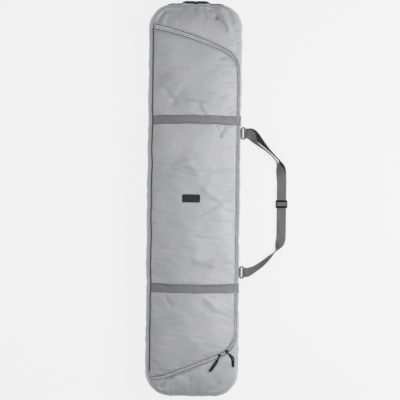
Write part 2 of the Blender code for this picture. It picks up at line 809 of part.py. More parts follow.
RETURN_ROUTE = [
    (STRAP_X, 0.0250, 0.0034, 0),
    (STRAP_X, 0.0560, 0.0030, 0),
    (0.3600, 0.0870, 0.0032, 0),
    (0.3590, 0.1010, 0.0050, 10),
    (0.3590, 0.1345, 0.0135, 42),
    (0.3490, 0.1635, 0.0210, 84),
    (0.3285, 0.1865, 0.0225, 86),
    (0.3035, 0.2110, 0.0260, 80),
    (0.2800, 0.2350, 0.0330, 66),
    (0.2610, 0.2550, 0.0410, 50),
    (0.2450, 0.2690, 0.0425, 28),
    (0.2330, 0.2750, 0.0465, 8),
    (0.2220, 0.2755, 0.0530, 0),
]


def route_stations(route, count):
    """Places and width directions along a strap that goes round its loop with its width outwards."""
    rows = smooth_route(route, count)
    stations = []
    for index, row in enumerate(rows):
        before = rows[max(0, index - 1)]
        after = rows[min(len(rows) - 1, index + 1)]
        along = Vector((after[0] - before[0], after[1] - before[1], 0.0)).normalized()
        outward = along.cross(Vector((0, 0, 1)))
        tilt = math.radians(row[3])
        across = outward * math.cos(tilt) + Vector((0, 0, 1)) * math.sin(tilt)
        stations.append((Vector(row[:3]), across))
    return stations


def make_strap():
    pieces = [
        make_ring("ring_upper", RING_HEAD_Y),
        make_ring("ring_lower", RING_FOOT_Y),
        make_wrap("strap_wrap_upper", RING_HEAD_Y, 0, 0.0075),
        make_wrap("strap_wrap_lower", RING_FOOT_Y, -12, 0.0090),
        strip_solid(
            "shoulder_strap", route_stations(STRAP_ROUTE, 85), WEB_WIDTH, WEB_THICK, "webbing"
        ),
        strip_solid(
            "strap_return", route_stations(RETURN_ROUTE, 49), WEB_WIDTH, WEB_THICK, "webbing"
        ),
    ]
    return pieces


def make_tri_glide():
    """The adjuster: a frame over the strap, and under it a bar that holds the strap's sewn end."""
    side = 0.0030
    outer = rounded_rectangle(GLIDE_HALF_WIDTH, GLIDE_HALF_LENGTH, 0.004, 3)
    slot = rounded_rectangle(
        GLIDE_HALF_WIDTH - side, GLIDE_HALF_LENGTH - GLIDE_BAR, 0.002, 2
    )
    low = STRAP_Z + WEB_THICK / 2 + 0.0004
    rim = 0.0030
    bar_height = 0.0020
    bar_z = 0.0034
    glide = plate_solid(
        "tri_glide",
        [outer, slot],
        rim,
        "hardware",
        Matrix.Translation((STRAP_X, GLIDE_Y, low + rim / 2)),
    )
    cheek_high = low + rim / 2
    cheek_low = bar_z - bar_height / 2
    x = GLIDE_HALF_WIDTH - side / 2
    blocks = [
        ((side, 0.009, cheek_high - cheek_low), (sign * x, (cheek_high + cheek_low) / 2))
        for sign in (-1, 1)
    ]
    blocks.append(((2 * GLIDE_HALF_WIDTH - side, 0.0050, bar_height), (0.0, bar_z)))
    bpy.context.view_layer.update()
    depsgraph = bpy.context.evaluated_depsgraph_get()
    mesh = bpy.data.meshes.new_from_object(glide.evaluated_get(depsgraph))
    matrix = glide.matrix_world.copy()
    bpy.data.objects.remove(glide, do_unlink=True)
    bm = bmesh.new()
    bm.from_mesh(mesh)
    bmesh.ops.remove_doubles(bm, verts=bm.verts, dist=0.00002)
    bm.to_mesh(mesh)
    bm.free()
    mesh.materials.clear()
    glide = add_object("tri_glide", mesh, "hardware", matrix)
    for index, (size, (shift, z)) in enumerate(blocks):
        place = Matrix.Translation((STRAP_X + shift, GLIDE_Y, z))
        block = box_solid(f"glide_block_{index}", size, "hardware", place, 0.0004)
        bpy.data.collections[PARTS].objects.unlink(block)
        bpy.data.collections["cutters"].objects.link(block)
        block.hide_render = True
        block.display_type = "WIRE"
        union = glide.modifiers.new(f"join_{index}", "BOOLEAN")
        union.operation = "UNION"
        union.solver = "EXACT"
        union.object = block
    return [glide, make_tail(bar_z, bar_height)]


def make_tail(bar_z, bar_height):
    """The strap's sewn end: round the middle bar and back on itself under the strap."""
    web = 0.0012
    rise = bar_height / 2 + GAP
    nose = 0.0025 + GAP
    outer = [
        (-nose - web, -rise - web),
        (TAIL_LENGTH, -rise - web),
        (TAIL_LENGTH, rise + web),
        (-nose - web, rise + web),
    ]
    hole = [(-nose, -rise), (nose, -rise), (nose, rise), (-nose, rise)]
    turn = Matrix(((0, 0, 1, 0), (1, 0, 0, 0), (0, 1, 0, 0), (0, 0, 0, 1)))
    place = Matrix.Translation((STRAP_X, GLIDE_Y, bar_z)) @ turn
    return plate_solid("strap_tail", [outer, hole], 0.0360, "webbing", place)


# ---------------------------------------------------------------- haul handle
def end_face(x, z):
    """Y of the head gusset's outer face at a height."""
    arc = np.interp(-z, -HEIGHT, ARC)
    return side_point(Vector((x, HALF_LENGTH, 0)), Vector((0, 1, 0)), arc).y


def make_handle():
    face = end_face(0.0, HANDLE_Z)
    patch_y = face + GAP + WEB_THICK / 2
    for label, sign in (("left", -1), ("right", 1)):
        centre = sign * (HANDLE_HALF_SPAN + PATCH_LENGTH / 2)
        box_solid(
            f"handle_patch_{label}",
            (PATCH_LENGTH, WEB_THICK, HANDLE_WIDTH),
            "black_webbing",
            Matrix.Translation((centre, patch_y, HANDLE_Z)),
            0.0004,
        )
    steps = 22
    stations = []
    for k in range(steps + 1):
        share = k / steps
        x = (HANDLE_HALF_SPAN - 0.0010) * (2 * share - 1)
        rise = min(1.0, max(0.0, 0.9 - abs(2 * share - 1)) / 0.36)
        lift = rise * rise * (3.0 - 2.0 * rise)
        tilt = math.radians(90 - 20 * lift)
        across = Vector((0.0, -math.cos(tilt), math.sin(tilt)))
        drop = HANDLE_Z - HANDLE_DROOP * lift
        place = Vector((x, patch_y + HANDLE_STAND_OFF * lift, drop))
        stations.append((place, across))
    handle = strip_solid("haul_handle", stations, HANDLE_WIDTH, WEB_THICK, "black_webbing")
    return handle, patch_y


def circle_through(a, b, c):
    """Centre and axis of the circle through three points."""
    normal = (b - a).cross(c - b).normalized()
    ab, bc = b - a, c - b
    rows = Matrix((ab, bc, normal))
    values = Vector((ab.dot((a + b) / 2), bc.dot((b + c) / 2), normal.dot(a)))
    return rows.inverted() @ values, normal


SLIDER_LEFT_TRAVEL = 0.150
SLIDER_RIGHT_TRAVEL = -0.034


def slider_circle(length, travel):
    """The circle that a slider follows along the crowned zipper."""
    places = [surface_frame(length + travel * k / 2, SLIDER_LIFT).translation for k in range(3)]
    centre, axis = circle_through(*places)
    spoke, last = places[0] - centre, places[2] - centre
    return centre, axis, math.degrees(spoke.angle(last))


def main():
    clear_scene()
    make_collection(PARTS)
    make_collection("cutters")
    make_back_panel()
    make_gussets()
    yoke_solid("head_yoke", 1)
    yoke_solid("foot_yoke", -1)
    make_piping()
    zipper = make_zipper()
    make_stops()
    bands = make_bands()
    flap = make_flap()
    for label, y in (("upper", RING_HEAD_Y), ("lower", RING_FOOT_Y)):
        make_chape(f"chape_{label}", y)
    hinge_place = Vector((-HALF_WIDTH, 0.0, SEAM_HEIGHT + 0.002))
    flap_pivot = pivot("flap_pivot", hinge_place, flap, zipper["flap"], zipper["flap_coil"], *bands)
    for side, length, travel, pull in (
        ("left", SLIDER_LEFT, SLIDER_LEFT_TRAVEL, PULL_LEFT),
        ("right", SLIDER_RIGHT, SLIDER_RIGHT_TRAVEL, PULL_RIGHT),
    ):
        body, bridge, hinge = make_slider(side, length)
        pull_pivot = pivot(f"pull_{side}_pivot", hinge, *make_pull(side, hinge, pull))
        centre, _, _ = slider_circle(length, travel)
        slider_pivot = pivot(f"slider_{side}_pivot", centre, body, bridge, pull_pivot)
        slider_pivot.parent = flap_pivot
        slider_pivot.matrix_parent_inverse = flap_pivot.matrix_world.inverted()
    strap_pivot = pivot("strap_pivot", Vector((RING_X, 0.0, RING_Z)), *make_strap())
    glide_pivot = pivot("tri_glide_pivot", Vector((STRAP_X, GLIDE_Y, STRAP_Z)), *make_tri_glide())
    glide_pivot.parent = strap_pivot
    glide_pivot.matrix_parent_inverse = strap_pivot.matrix_world.inverted()
    handle, patch_y = make_handle()
    pivot("handle_pivot", Vector((0.0, patch_y, HANDLE_Z + HANDLE_WIDTH / 2)), handle)


main()
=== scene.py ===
"""The looks of a snowboard bag lying on its back: simulated cloth, webbing, zipper and hardware.

Everything is in metres in the CAD frame: +Y runs to the head end, +X to the side with the shoulder
strap, +Z out of the zipped front.
"""
import math
import random

import bmesh
import bpy
import numpy as np
from mathutils import Matrix, Vector


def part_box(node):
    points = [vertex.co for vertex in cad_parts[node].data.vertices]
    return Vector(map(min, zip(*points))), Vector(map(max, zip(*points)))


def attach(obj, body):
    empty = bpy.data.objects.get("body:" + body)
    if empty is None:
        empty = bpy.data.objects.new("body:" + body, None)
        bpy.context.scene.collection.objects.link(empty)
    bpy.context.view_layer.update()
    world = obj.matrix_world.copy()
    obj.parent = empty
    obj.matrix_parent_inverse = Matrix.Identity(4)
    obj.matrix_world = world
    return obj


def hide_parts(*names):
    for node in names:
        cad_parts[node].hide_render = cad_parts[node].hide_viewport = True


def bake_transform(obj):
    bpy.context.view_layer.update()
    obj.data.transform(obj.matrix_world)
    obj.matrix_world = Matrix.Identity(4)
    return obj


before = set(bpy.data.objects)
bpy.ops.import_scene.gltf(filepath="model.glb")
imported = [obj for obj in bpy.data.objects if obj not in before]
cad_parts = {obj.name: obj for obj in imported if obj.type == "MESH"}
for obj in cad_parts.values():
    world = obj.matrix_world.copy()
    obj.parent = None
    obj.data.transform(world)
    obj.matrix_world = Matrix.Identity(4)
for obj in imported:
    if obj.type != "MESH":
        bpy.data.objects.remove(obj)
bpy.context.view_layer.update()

# ---------------------------------------------------------------- sizes, from the frame
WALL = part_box("back_panel")[1].z
HALF_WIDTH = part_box("back_panel")[1].x - WALL
HALF_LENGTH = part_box("back_panel")[1].y - WALL
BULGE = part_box("left_gusset")[0].x * -1 - HALF_WIDTH + 0.0011
CORNER_RADIUS = 0.085
SEAM_HEIGHT = 0.102
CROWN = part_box("front_flap")[1].z - SEAM_HEIGHT
BOTTOM = WALL + 0.0003
TAPE_WIDTH = 0.0085
ZIP_BEND = 0.112
ZIP_HEAD_START = (-0.1690, 0.7035)
ZIP_HEAD_HEADING = -13.0
ZIP_HEAD_BOW = 1.577
ZIP_BOW_TURN = 10.6
ZIP_FOOT_START = (-0.1690, -0.7265)
ZIP_FOOT_HEADING = 7.0
ZIP_FOOT_LEAD = 0.042
ZIP_FOOT_BEND = 0.022
ZIP_FOOT_SLOPE = 21.8
ZIP_MARGIN_HEAD = 0.006
ZIP_MARGIN_FOOT = 0.013
WEB_WIDTH = 0.038
WEB_THICK = 0.0018
BAND_HEAD_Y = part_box("side_band_upper")[0].y + WEB_WIDTH / 2
BAND_FOOT_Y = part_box("side_band_lower")[0].y + WEB_WIDTH / 2
BAND_BOW = 0.004
STRAP_X = 0.360
# the strap's two rings: name, place along the side, how their webbing leads out and how far
RING_PLACES = (("upper", 0.2735, 0.0, 0.0075), ("lower", -0.2930, -12.0, 0.0090))


def unit(vectors):
    return vectors / np.linalg.norm(vectors, axis=-1, keepdims=True)


def run_lengths(points):
    """The length from the first point to each along a path."""
    return np.concatenate([[0], np.cumsum(np.linalg.norm(np.diff(points, axis=0), axis=1))])


def linked(obj):
    bpy.context.scene.collection.objects.link(obj)
    return obj


def made_mesh(name, points, faces):
    mesh = bpy.data.meshes.new(name)
    mesh.from_pydata(np.reshape(points, (-1, 3)).tolist(), [], faces)
    return mesh


# ---------------------------------------------------------------- the shape that is sewn together
def ring_half_width(y):
    past = np.clip(np.abs(y) - (HALF_LENGTH - CORNER_RADIUS), 0.0, CORNER_RADIUS)
    return HALF_WIDTH - CORNER_RADIUS + np.sqrt(CORNER_RADIUS**2 - past**2)


def front_height(x, y):
    across = np.clip(1.0 - (x / HALF_WIDTH) ** 2, 0.0, None)
    along = np.clip(1.0 - (y / HALF_LENGTH) ** 12, 0.0, None)
    return SEAM_HEIGHT + CROWN * across * along


RING_SIDE = HALF_LENGTH - CORNER_RADIUS
RING_BEND = CORNER_RADIUS * math.pi / 2
RING_QUARTER = RING_SIDE + RING_BEND + HALF_WIDTH - CORNER_RADIUS


def ring_station(distance):
    """Place and outward direction on the seam ring, from (HALF_WIDTH, 0) towards the head."""
    end = HALF_WIDTH - CORNER_RADIUS
    half_turn, rest = divmod(distance, 2 * RING_QUARTER)
    flipped = rest > RING_QUARTER
    if flipped:
        rest = 2 * RING_QUARTER - rest
    if rest <= RING_SIDE:
        x, y, angle = HALF_WIDTH, rest, 0.0
    elif rest <= RING_SIDE + RING_BEND:
        angle = (rest - RING_SIDE) / CORNER_RADIUS
        x = end + CORNER_RADIUS * math.cos(angle)
        y = RING_SIDE + CORNER_RADIUS * math.sin(angle)
    else:
        angle = math.pi / 2
        x, y = RING_QUARTER - rest, HALF_LENGTH
    turn = -1.0 if int(half_turn) % 2 else 1.0
    mirror = -1.0 if flipped else 1.0
    return (
        (mirror * turn * x, turn * y),
        (mirror * turn * math.cos(angle), turn * math.sin(angle)),
    )


def walk(start, heading, legs):
    """Points and headings along straight and curved legs: (length, turn in degrees)."""
    place = np.array(start, float)
    points, headings = [place], [math.radians(heading)]
    for length, turn in legs:
        steps = max(1, round(abs(turn) / 2.0)) if turn else max(1, round(length / 0.02))
        for _ in range(steps):
            bend = math.radians(turn) / steps
            middle = headings[-1] + bend / 2
            place = place + length / steps * np.array([math.cos(middle), math.sin(middle)])
            points.append(place)
            headings.append(headings[-1] + bend)
    return points, headings


def zipper_path():
    side_x = HALF_WIDTH + TAPE_WIDTH
    bow = ZIP_HEAD_BOW * math.radians(ZIP_BOW_TURN)
    slope = math.radians(ZIP_HEAD_HEADING - ZIP_BOW_TURN)
    first, _ = walk(ZIP_HEAD_START, ZIP_HEAD_HEADING, [(bow, -ZIP_BOW_TURN)])
    reach = (side_x - ZIP_BEND * (1.0 + math.sin(slope)) - first[-1][0]) / math.cos(slope)
    turn = 90.0 + math.degrees(slope)
    legs = [(bow, -ZIP_BOW_TURN), (reach, 0), (ZIP_BEND * math.radians(turn), -turn)]
    points, headings = walk(ZIP_HEAD_START, ZIP_HEAD_HEADING, legs)
    foot = [(ZIP_FOOT_LEAD, 0), (ZIP_FOOT_BEND, ZIP_FOOT_SLOPE - ZIP_FOOT_HEADING)]
    lead, _ = walk(ZIP_FOOT_START, ZIP_FOOT_HEADING, foot)
    slope = math.radians(ZIP_FOOT_SLOPE)
    reach = (side_x - ZIP_BEND * (1.0 - math.sin(slope)) - lead[-1][0]) / math.cos(slope)
    turn = 90.0 - ZIP_FOOT_SLOPE
    foot += [(reach, 0), (ZIP_BEND * math.radians(turn), turn)]
    foot_points, foot_headings = walk(ZIP_FOOT_START, ZIP_FOOT_HEADING, foot)
    gap = points[-1][1] - foot_points[-1][1]
    stretch, straight = walk(points[-1], -90.0, [(gap, 0)])
    points += stretch[1:-1] + foot_points[::-1]
    headings += straight[1:-1] + [angle - math.pi for angle in foot_headings[::-1]]
    return np.array(points), np.array(headings)


ZIP_POINTS, ZIP_HEADINGS = zipper_path()
ZIP_LENGTHS = run_lengths(ZIP_POINTS)


def zip_at(length, offset=0.0):
    """Plan places beside the zipper; a positive offset is towards the bag's ends and side."""
    x = np.interp(length, ZIP_LENGTHS, ZIP_POINTS[:, 0])
    y = np.interp(length, ZIP_LENGTHS, ZIP_POINTS[:, 1])
    heading = np.interp(length, ZIP_LENGTHS, ZIP_HEADINGS)
    return x - np.sin(heading) * offset, y + np.cos(heading) * offset


def zip_near(x, y):
    """Distance in plan from the zipper's middle line, and the length along it."""
    flat = np.stack([np.ravel(x), np.ravel(y)], -1)
    best, lengths = np.full(len(flat), 1e9), np.zeros(len(flat))
    for a, b, start in zip(ZIP_POINTS, ZIP_POINTS[1:], ZIP_LENGTHS):
        span = b - a
        t = np.clip(((flat - a) @ span) / (span @ span), 0, 1)
        away = np.linalg.norm(flat - a - t[:, None] * span, axis=1)
        lengths = np.where(away < best, start + t * np.linalg.norm(span), lengths)
        best = np.minimum(best, away)
    return best.reshape(np.shape(x)), lengths.reshape(np.shape(x))


def zip_distance(x, y):
    return zip_near(x, y)[0]


def band_line(y, x):
    return y + math.copysign(1.0, y) * BAND_BOW * (1.0 - (x / HALF_WIDTH) ** 2)


# ---------------------------------------------------------------- cloth simulation
def grid_faces(rows, columns, wrap=False, flip=False):
    faces = []
    for r in range(rows if wrap else rows - 1):
        here, beyond = r * columns, (r + 1) % rows * columns
        for c in range(columns - 1):
            face = (here + c, here + c + 1, beyond + c + 1, beyond + c)
            faces.append(face[::-1] if flip else face)
    return faces


def capsule_faces(base, rings, sides):
    """A short closed tube's faces: its wall and its two ends."""
    faces = []
    for low in range(base, base + (rings - 1) * sides, sides):
        high = low + sides
        for s in range(sides):
            t = (s + 1) % sides
            faces.append((low + s, low + t, high + t, high + s))
    last = base + (rings - 1) * sides
    faces.append(tuple(range(base, base + sides))[::-1])
    faces.append(tuple(range(last, last + sides)))
    return faces


def eased(share):
    """A share from 0 to 1, with a soft start and end."""
    return share * share * (3.0 - 2.0 * share)


CLOTH = dict(
    quality=6, mass=0.25, air_damping=2.0, tension_stiffness=18, compression_stiffness=18,
    shear_stiffness=6, bending_stiffness=0.35, vertex_group_mass="held", pin_stiffness=1.0,
    use_pressure=True,
)


def inflate(name, points, pinned, wrap, pressure, slack, frames):
    """Cloth laid out on a grid of points, held where pinned and blown up from below.

    slack is how much longer the cloth is than the shape it is sewn to, which wrinkles it."""
    rows, columns = points.shape[:2]
    mesh = made_mesh(name, points, grid_faces(rows, columns, wrap))
    mesh.update()
    obj = linked(bpy.data.objects.new(name, mesh))
    group = obj.vertex_groups.new(name="held")
    for index in np.flatnonzero(pinned.ravel()):
        group.add([int(index)], 1.0, "REPLACE")
    cloth = obj.modifiers.new("cloth", "CLOTH")
    for setting, value in CLOTH.items():
        setattr(cloth.settings, setting, value)
    cloth.settings.shrink_min = -slack
    cloth.settings.uniform_pressure_force = pressure
    cloth.settings.effector_weights.gravity = 0.0
    cloth.collision_settings.use_collision = False
    cloth.point_cache.frame_start = 1
    cloth.point_cache.frame_end = frames
    scene = bpy.context.scene
    for step in range(1, frames + 1):
        scene.frame_set(step)
    held = obj.evaluated_get(bpy.context.evaluated_depsgraph_get()).to_mesh()
    out = np.zeros(rows * columns * 3, np.float32)
    held.vertices.foreach_get("co", out)
    bpy.data.objects.remove(obj, do_unlink=True)
    scene.frame_set(1)
    return out.reshape(rows, columns, 3).astype(float)


def capped(moved, start, limit):
    """Moves that grow past limit are eased back to it."""
    step = moved - start
    size = np.linalg.norm(step, axis=-1, keepdims=True)
    return start + step * (limit * np.tanh(size / limit) / np.maximum(size, 1e-9))


def gusset_section(share):
    """The side's outer face by its share of the way down: distance out and height."""
    out = BULGE * 4.0 * share * (1.0 - share)
    return out, SEAM_HEIGHT + (BOTTOM - SEAM_HEIGHT) * share


SHARES = np.linspace(0.0, 1.0, 201)
SECTION = np.stack(gusset_section(SHARES), -1)
SECTION_ARC = run_lengths(SECTION)
GUSSET_DEPTH = SECTION_ARC[-1]


class Skin:
    """A cloth surface given by a grid of points, read between them by row and column."""

    def __init__(self, points, wrap):
        self.wrap = wrap
        self.points = points
        if wrap:
            down = np.roll(points, -1, 0) - np.roll(points, 1, 0)
        else:
            down = np.gradient(points, axis=0)
        self.normals = unit(np.cross(np.gradient(points, axis=1), down))

    def read(self, grid, row, column):
        rows, columns = grid.shape[:2]
        row, column = np.broadcast_arrays(np.asarray(row, float), np.asarray(column, float))
        column = np.clip(column, 0, columns - 1)
        if not self.wrap:
            row = np.clip(row, 0, rows - 1)
        r0, c0 = np.floor(row).astype(int), np.floor(column).astype(int)
        total = 0.0
        for i, wi in enumerate(cubic(row - r0)):
            r = r0 + i - 1
            r = r % rows if self.wrap else np.clip(r, 0, rows - 1)
            for j, wj in enumerate(cubic(column - c0)):
                c = np.clip(c0 + j - 1, 0, columns - 1)
                total = total + grid[r, c] * (wi * wj)[..., None]
        return total

    def at(self, row, column, lift):
        place = self.read(self.points, row, column)
        normal = unit(self.read(self.normals, row, column))
        return place + normal * np.asarray(lift, float)[..., None]


def cubic(t):
    """Catmull-Rom weights of the four points round t."""
    return (
        (-t + 2 * t**2 - t**3) / 2,
        (2 - 5 * t**2 + 3 * t**3) / 2,
        (t + 4 * t**2 - 3 * t**3) / 2,
        (-(t**2) + t**3) / 2,
    )


FRONT_ROWS, FRONT_COLUMNS = 261, 59
SIDE_ROWS, SIDE_COLUMNS = 560, 17
FINE = 2  # how much finer the grids are after the simulation
FRONT_AIR, FRONT_SLACK, FRONT_FRAMES, FRONT_CAP = 3.0, 0.008, 22, 0.010
SIDE_AIR, SIDE_SLACK, SIDE_FRAMES, SIDE_CAP = 2.0, 0.010, 20, 0.007
FOLD_STRENGTH = 1.5
BAND_REST = 0.004  # how far in from a band's edge the cloth under it is held
RING_HOLD = 0.024  # and on both sides of a ring
HANDLE_CALM, RING_CALM, CALM_FADE = 0.112, 0.026, 0.035  # flat cloth under handle and rings
ZIP_HOLD = 0.0075  # how near the zipper the cloth is held still


def front_grid(rows, columns):
    y = np.linspace(-HALF_LENGTH, HALF_LENGTH, rows)[:, None]
    u = np.linspace(-1.0, 1.0, columns)[None, :]
    x = u * ring_half_width(y)
    return x, y + 0 * x


def side_grid(rows, columns):
    places, outs = zip(*[ring_station(4 * RING_QUARTER * k / rows) for k in range(rows)])
    place, outward = np.array(places), np.array(outs)
    out, height = gusset_section(np.linspace(0.0, 1.0, columns))
    share = np.linspace(0.0, 1.0, columns)
    top = front_height(place[:, 0], place[:, 1]) - SEAM_HEIGHT
    xy = place[:, None, :] + outward[:, None, :] * out[None, :, None]
    z = height[None, :] + top[:, None] * (1.0 - share[None, :])
    return np.concatenate([xy, z[..., None]], -1)


# creases that the cloth holds: from and to in plan, half width, depth
FOLDS = [
    ((0.050, 0.781), (0.080, 0.742), 0.0095, 0.0058),
    ((0.080, 0.742), (0.120, 0.692), 0.0110, 0.0072),
    ((0.094, 0.779), (0.130, 0.700), 0.0110, -0.0060),
    ((0.132, 0.764), (0.150, 0.722), 0.0060, 0.0030),
    ((-0.130, 0.766), (-0.152, 0.730), 0.0060, 0.0030),
    ((0.022, 0.781), (0.037, 0.738), 0.0080, 0.0032),
    ((-0.014, 0.781), (0.000, 0.748), 0.0070, 0.0026),
    ((-0.118, 0.752), (-0.140, 0.712), 0.0090, -0.0020),
    ((0.030, 0.384), (0.056, 0.342), 0.0110, -0.0030),
    ((-0.024, 0.392), (0.030, 0.384), 0.0130, -0.0022),
    ((0.088, 0.298), (0.104, 0.262), 0.0080, 0.0028),
    ((0.104, 0.262), (0.122, 0.296), 0.0080, 0.0026),
    ((-0.074, 0.134), (-0.020, 0.146), 0.0150, -0.0028),
    ((-0.020, 0.146), (0.012, 0.104), 0.0150, -0.0030),
    ((0.044, 0.040), (0.110, -0.006), 0.0130, -0.0030),
    ((0.110, -0.006), (0.036, -0.050), 0.0110, 0.0028),
    ((0.012, -0.246), (0.078, -0.262), 0.0150, -0.0028),
    ((0.078, -0.262), (0.140, -0.236), 0.0130, -0.0024),
    ((-0.150, -0.758), (-0.104, -0.716), 0.0100, -0.0060),
    ((-0.122, -0.762), (-0.084, -0.722), 0.0095, 0.0050),
    ((0.040, -0.776), (0.078, -0.748), 0.0075, -0.0024),
    ((0.078, -0.776), (0.110, -0.744), 0.0075, 0.0022),
    ((0.104, 0.575), (0.150, 0.592), 0.0100, 0.0024),
    ((-0.120, 0.440), (-0.086, 0.392), 0.0150, 0.0026),
    ((-0.086, 0.392), (-0.050, 0.446), 0.0150, 0.0022),
    ((-0.110, -0.400), (-0.090, -0.432), 0.0090, 0.0020),
    ((0.052, -0.402), (0.090, -0.432), 0.0100, -0.0022),
]


def folded(x, y):
    """Height that the creases add to the front."""
    total = np.zeros(np.shape(x))
    for start, end, width, depth in FOLDS:
        a, b = np.array(start), np.array(end)
        span = b - a
        t = ((x - a[0]) * span[0] + (y - a[1]) * span[1]) / (span @ span)
        inside = np.clip(t, 0, 1)
        away = np.hypot(x - a[0] - inside * span[0], y - a[1] - inside * span[1])
        side = (x - a[0]) * -span[1] + (y - a[1]) * span[0]
        lean = 1.0 + 0.5 * np.tanh(side / (np.linalg.norm(span) * width))
        total -= depth * lean * np.exp(-((away / width) ** 2))
    return total


def smooth_noise(x, y, seed):
    """Sums of sines in several directions: soft, repeatable unevenness between -1 and 1."""
    draw = random.Random(seed)
    total = np.zeros(np.broadcast(x, y).shape)
    for _ in range(7):
        angle = draw.uniform(0, math.pi)
        scale = draw.uniform(0.6, 1.6)
        phase = draw.uniform(0, 2 * math.pi)
        along = x * math.cos(angle) + y * math.sin(angle)
        total = total + np.sin(2 * math.pi * scale * along + phase)
    return total / 4.0


def sway(points):
    """Side seams that aren't quite straight; the ends, where the zipper crosses, stay."""
    x, y = points[..., 0], points[..., 1]
    middle = np.clip(1.0 - (y / 0.60) ** 4, 0.0, None)
    side = np.clip(np.abs(x) / HALF_WIDTH, 0, 1) ** 4 * np.sign(x) * middle
    wander = smooth_noise(y / 0.16 + 3.0 * np.sign(x), 0 * x, 5)
    wander = wander + 0.5 * smooth_noise(y / 0.06 + 7.0 * np.sign(x), 0 * x, 6)
    for _, place, _, _ in RING_PLACES:
        wander = wander * (1.0 - (x > 0) * np.exp(-(((y - place) / 0.045) ** 4)))
    pinch = sum(np.exp(-(((y - line) / 0.035) ** 2)) for line in (BAND_HEAD_Y, BAND_FOOT_Y))
    points[..., 0] += side * (0.0013 * wander - 0.0018 * pinch)
    return points


# creases above the first height are softly held under the two together
CREST, CREST_ROOM = SEAM_HEIGHT + CROWN + 0.009, 0.003


def build_front():
    x, y = front_grid(FRONT_ROWS, FRONT_COLUMNS)
    z = front_height(x, y)
    start = np.stack([x, y, z], -1)
    held = np.zeros(x.shape, bool)
    held[[0, -1], :] = True
    held[:, [0, -1]] = True
    held |= zip_distance(x, y) < ZIP_HOLD
    for line in (BAND_HEAD_Y, BAND_FOOT_Y):
        held |= np.abs(y - band_line(line, x)) < WEB_WIDTH / 2 - BAND_REST
    still = np.minimum(ring_half_width(y) - np.abs(x), HALF_LENGTH - np.abs(y))
    still = np.minimum(still, zip_distance(x, y) - ZIP_HOLD)
    for line in (BAND_HEAD_Y, BAND_FOOT_Y):
        still = np.minimum(still, np.abs(y - band_line(line, x)) - WEB_WIDTH / 2)
    start[..., 2] += 0.0016 * smooth_noise(x / 0.10, y / 0.14, 3) * np.clip(still / 0.03, 0, 1)
    moved = inflate("front_sim", start, held, False, FRONT_AIR, FRONT_SLACK, FRONT_FRAMES)
    moved = capped(moved, start, FRONT_CAP)
    coarse = Skin(moved, False)
    rows, columns = FINE * (FRONT_ROWS - 1) + 1, FINE * (FRONT_COLUMNS - 1) + 1
    fine = coarse.at(
        np.linspace(0, FRONT_ROWS - 1, rows)[:, None],
        np.linspace(0, FRONT_COLUMNS - 1, columns)[None, :],
        np.zeros((rows, columns)),
    )
    x, y = front_grid(rows, columns)
    edge = np.minimum(ring_half_width(y) - np.abs(x), HALF_LENGTH - np.abs(y))
    seam = np.minimum(edge, np.maximum(zip_distance(x, y) - TAPE_WIDTH, 0.0))
    band = np.full(x.shape, 1.0)
    for line in (BAND_HEAD_Y, BAND_FOOT_Y):
        gap = np.abs(y - band_line(line, x)) - WEB_WIDTH / 2
        band = np.minimum(band, np.maximum(gap, 0.0))
    seam = np.minimum(seam, band)
    free = eased(np.clip(seam / 0.012, 0.0, 1.0))
    pucker = np.exp(-seam / 0.014) * free * (0.4 + 0.6 * (band < seam + 1e-6))
    lift = FOLD_STRENGTH * folded(x, y) * eased(np.clip(seam / 0.006, 0.0, 1.0))
    lift += 0.0024 * smooth_noise(x / 0.024, y / 0.020, 11) * pucker
    lift += 0.0007 * smooth_noise((x + y) / 0.07, (y - x) / 0.18, 12) * free
    lift += 0.0008 * smooth_noise((x - y) / 0.09, (y + x) / 0.22, 13) * free
    lift += 0.0028 * smooth_noise(x / 0.16, y / 0.18, 14) * free
    # the panels roll down into the seams round them
    sides = 0.25 + 0.75 * np.clip((0.70 - np.abs(y)) / 0.04, 0, 1)
    lift -= 0.0016 * sides * np.exp(-((np.minimum(edge, 1.0) / 0.004) ** 2))
    fine += Skin(fine, False).normals * lift[..., None]
    # the highest crease is pulled flat by the cloth round it
    over = np.maximum(fine[..., 2] - CREST, 0.0)
    fine[..., 2] -= over - CREST_ROOM * np.tanh(over / CREST_ROOM)
    return Skin(sway(fine), False)


def side_calm(signed):
    """0 where the haul handle and the rings are sewn on, so the cloth lies flat, and 1 beyond."""
    calm = 1.0
    rings = [(place, RING_CALM) for _, place, _, _ in RING_PLACES]
    for place, reach in ((RING_QUARTER, HANDLE_CALM), *rings):
        away = np.clip((np.abs(signed - place) - reach) / CALM_FADE, 0.0, 1.0)
        calm = calm * eased(away)
    return calm


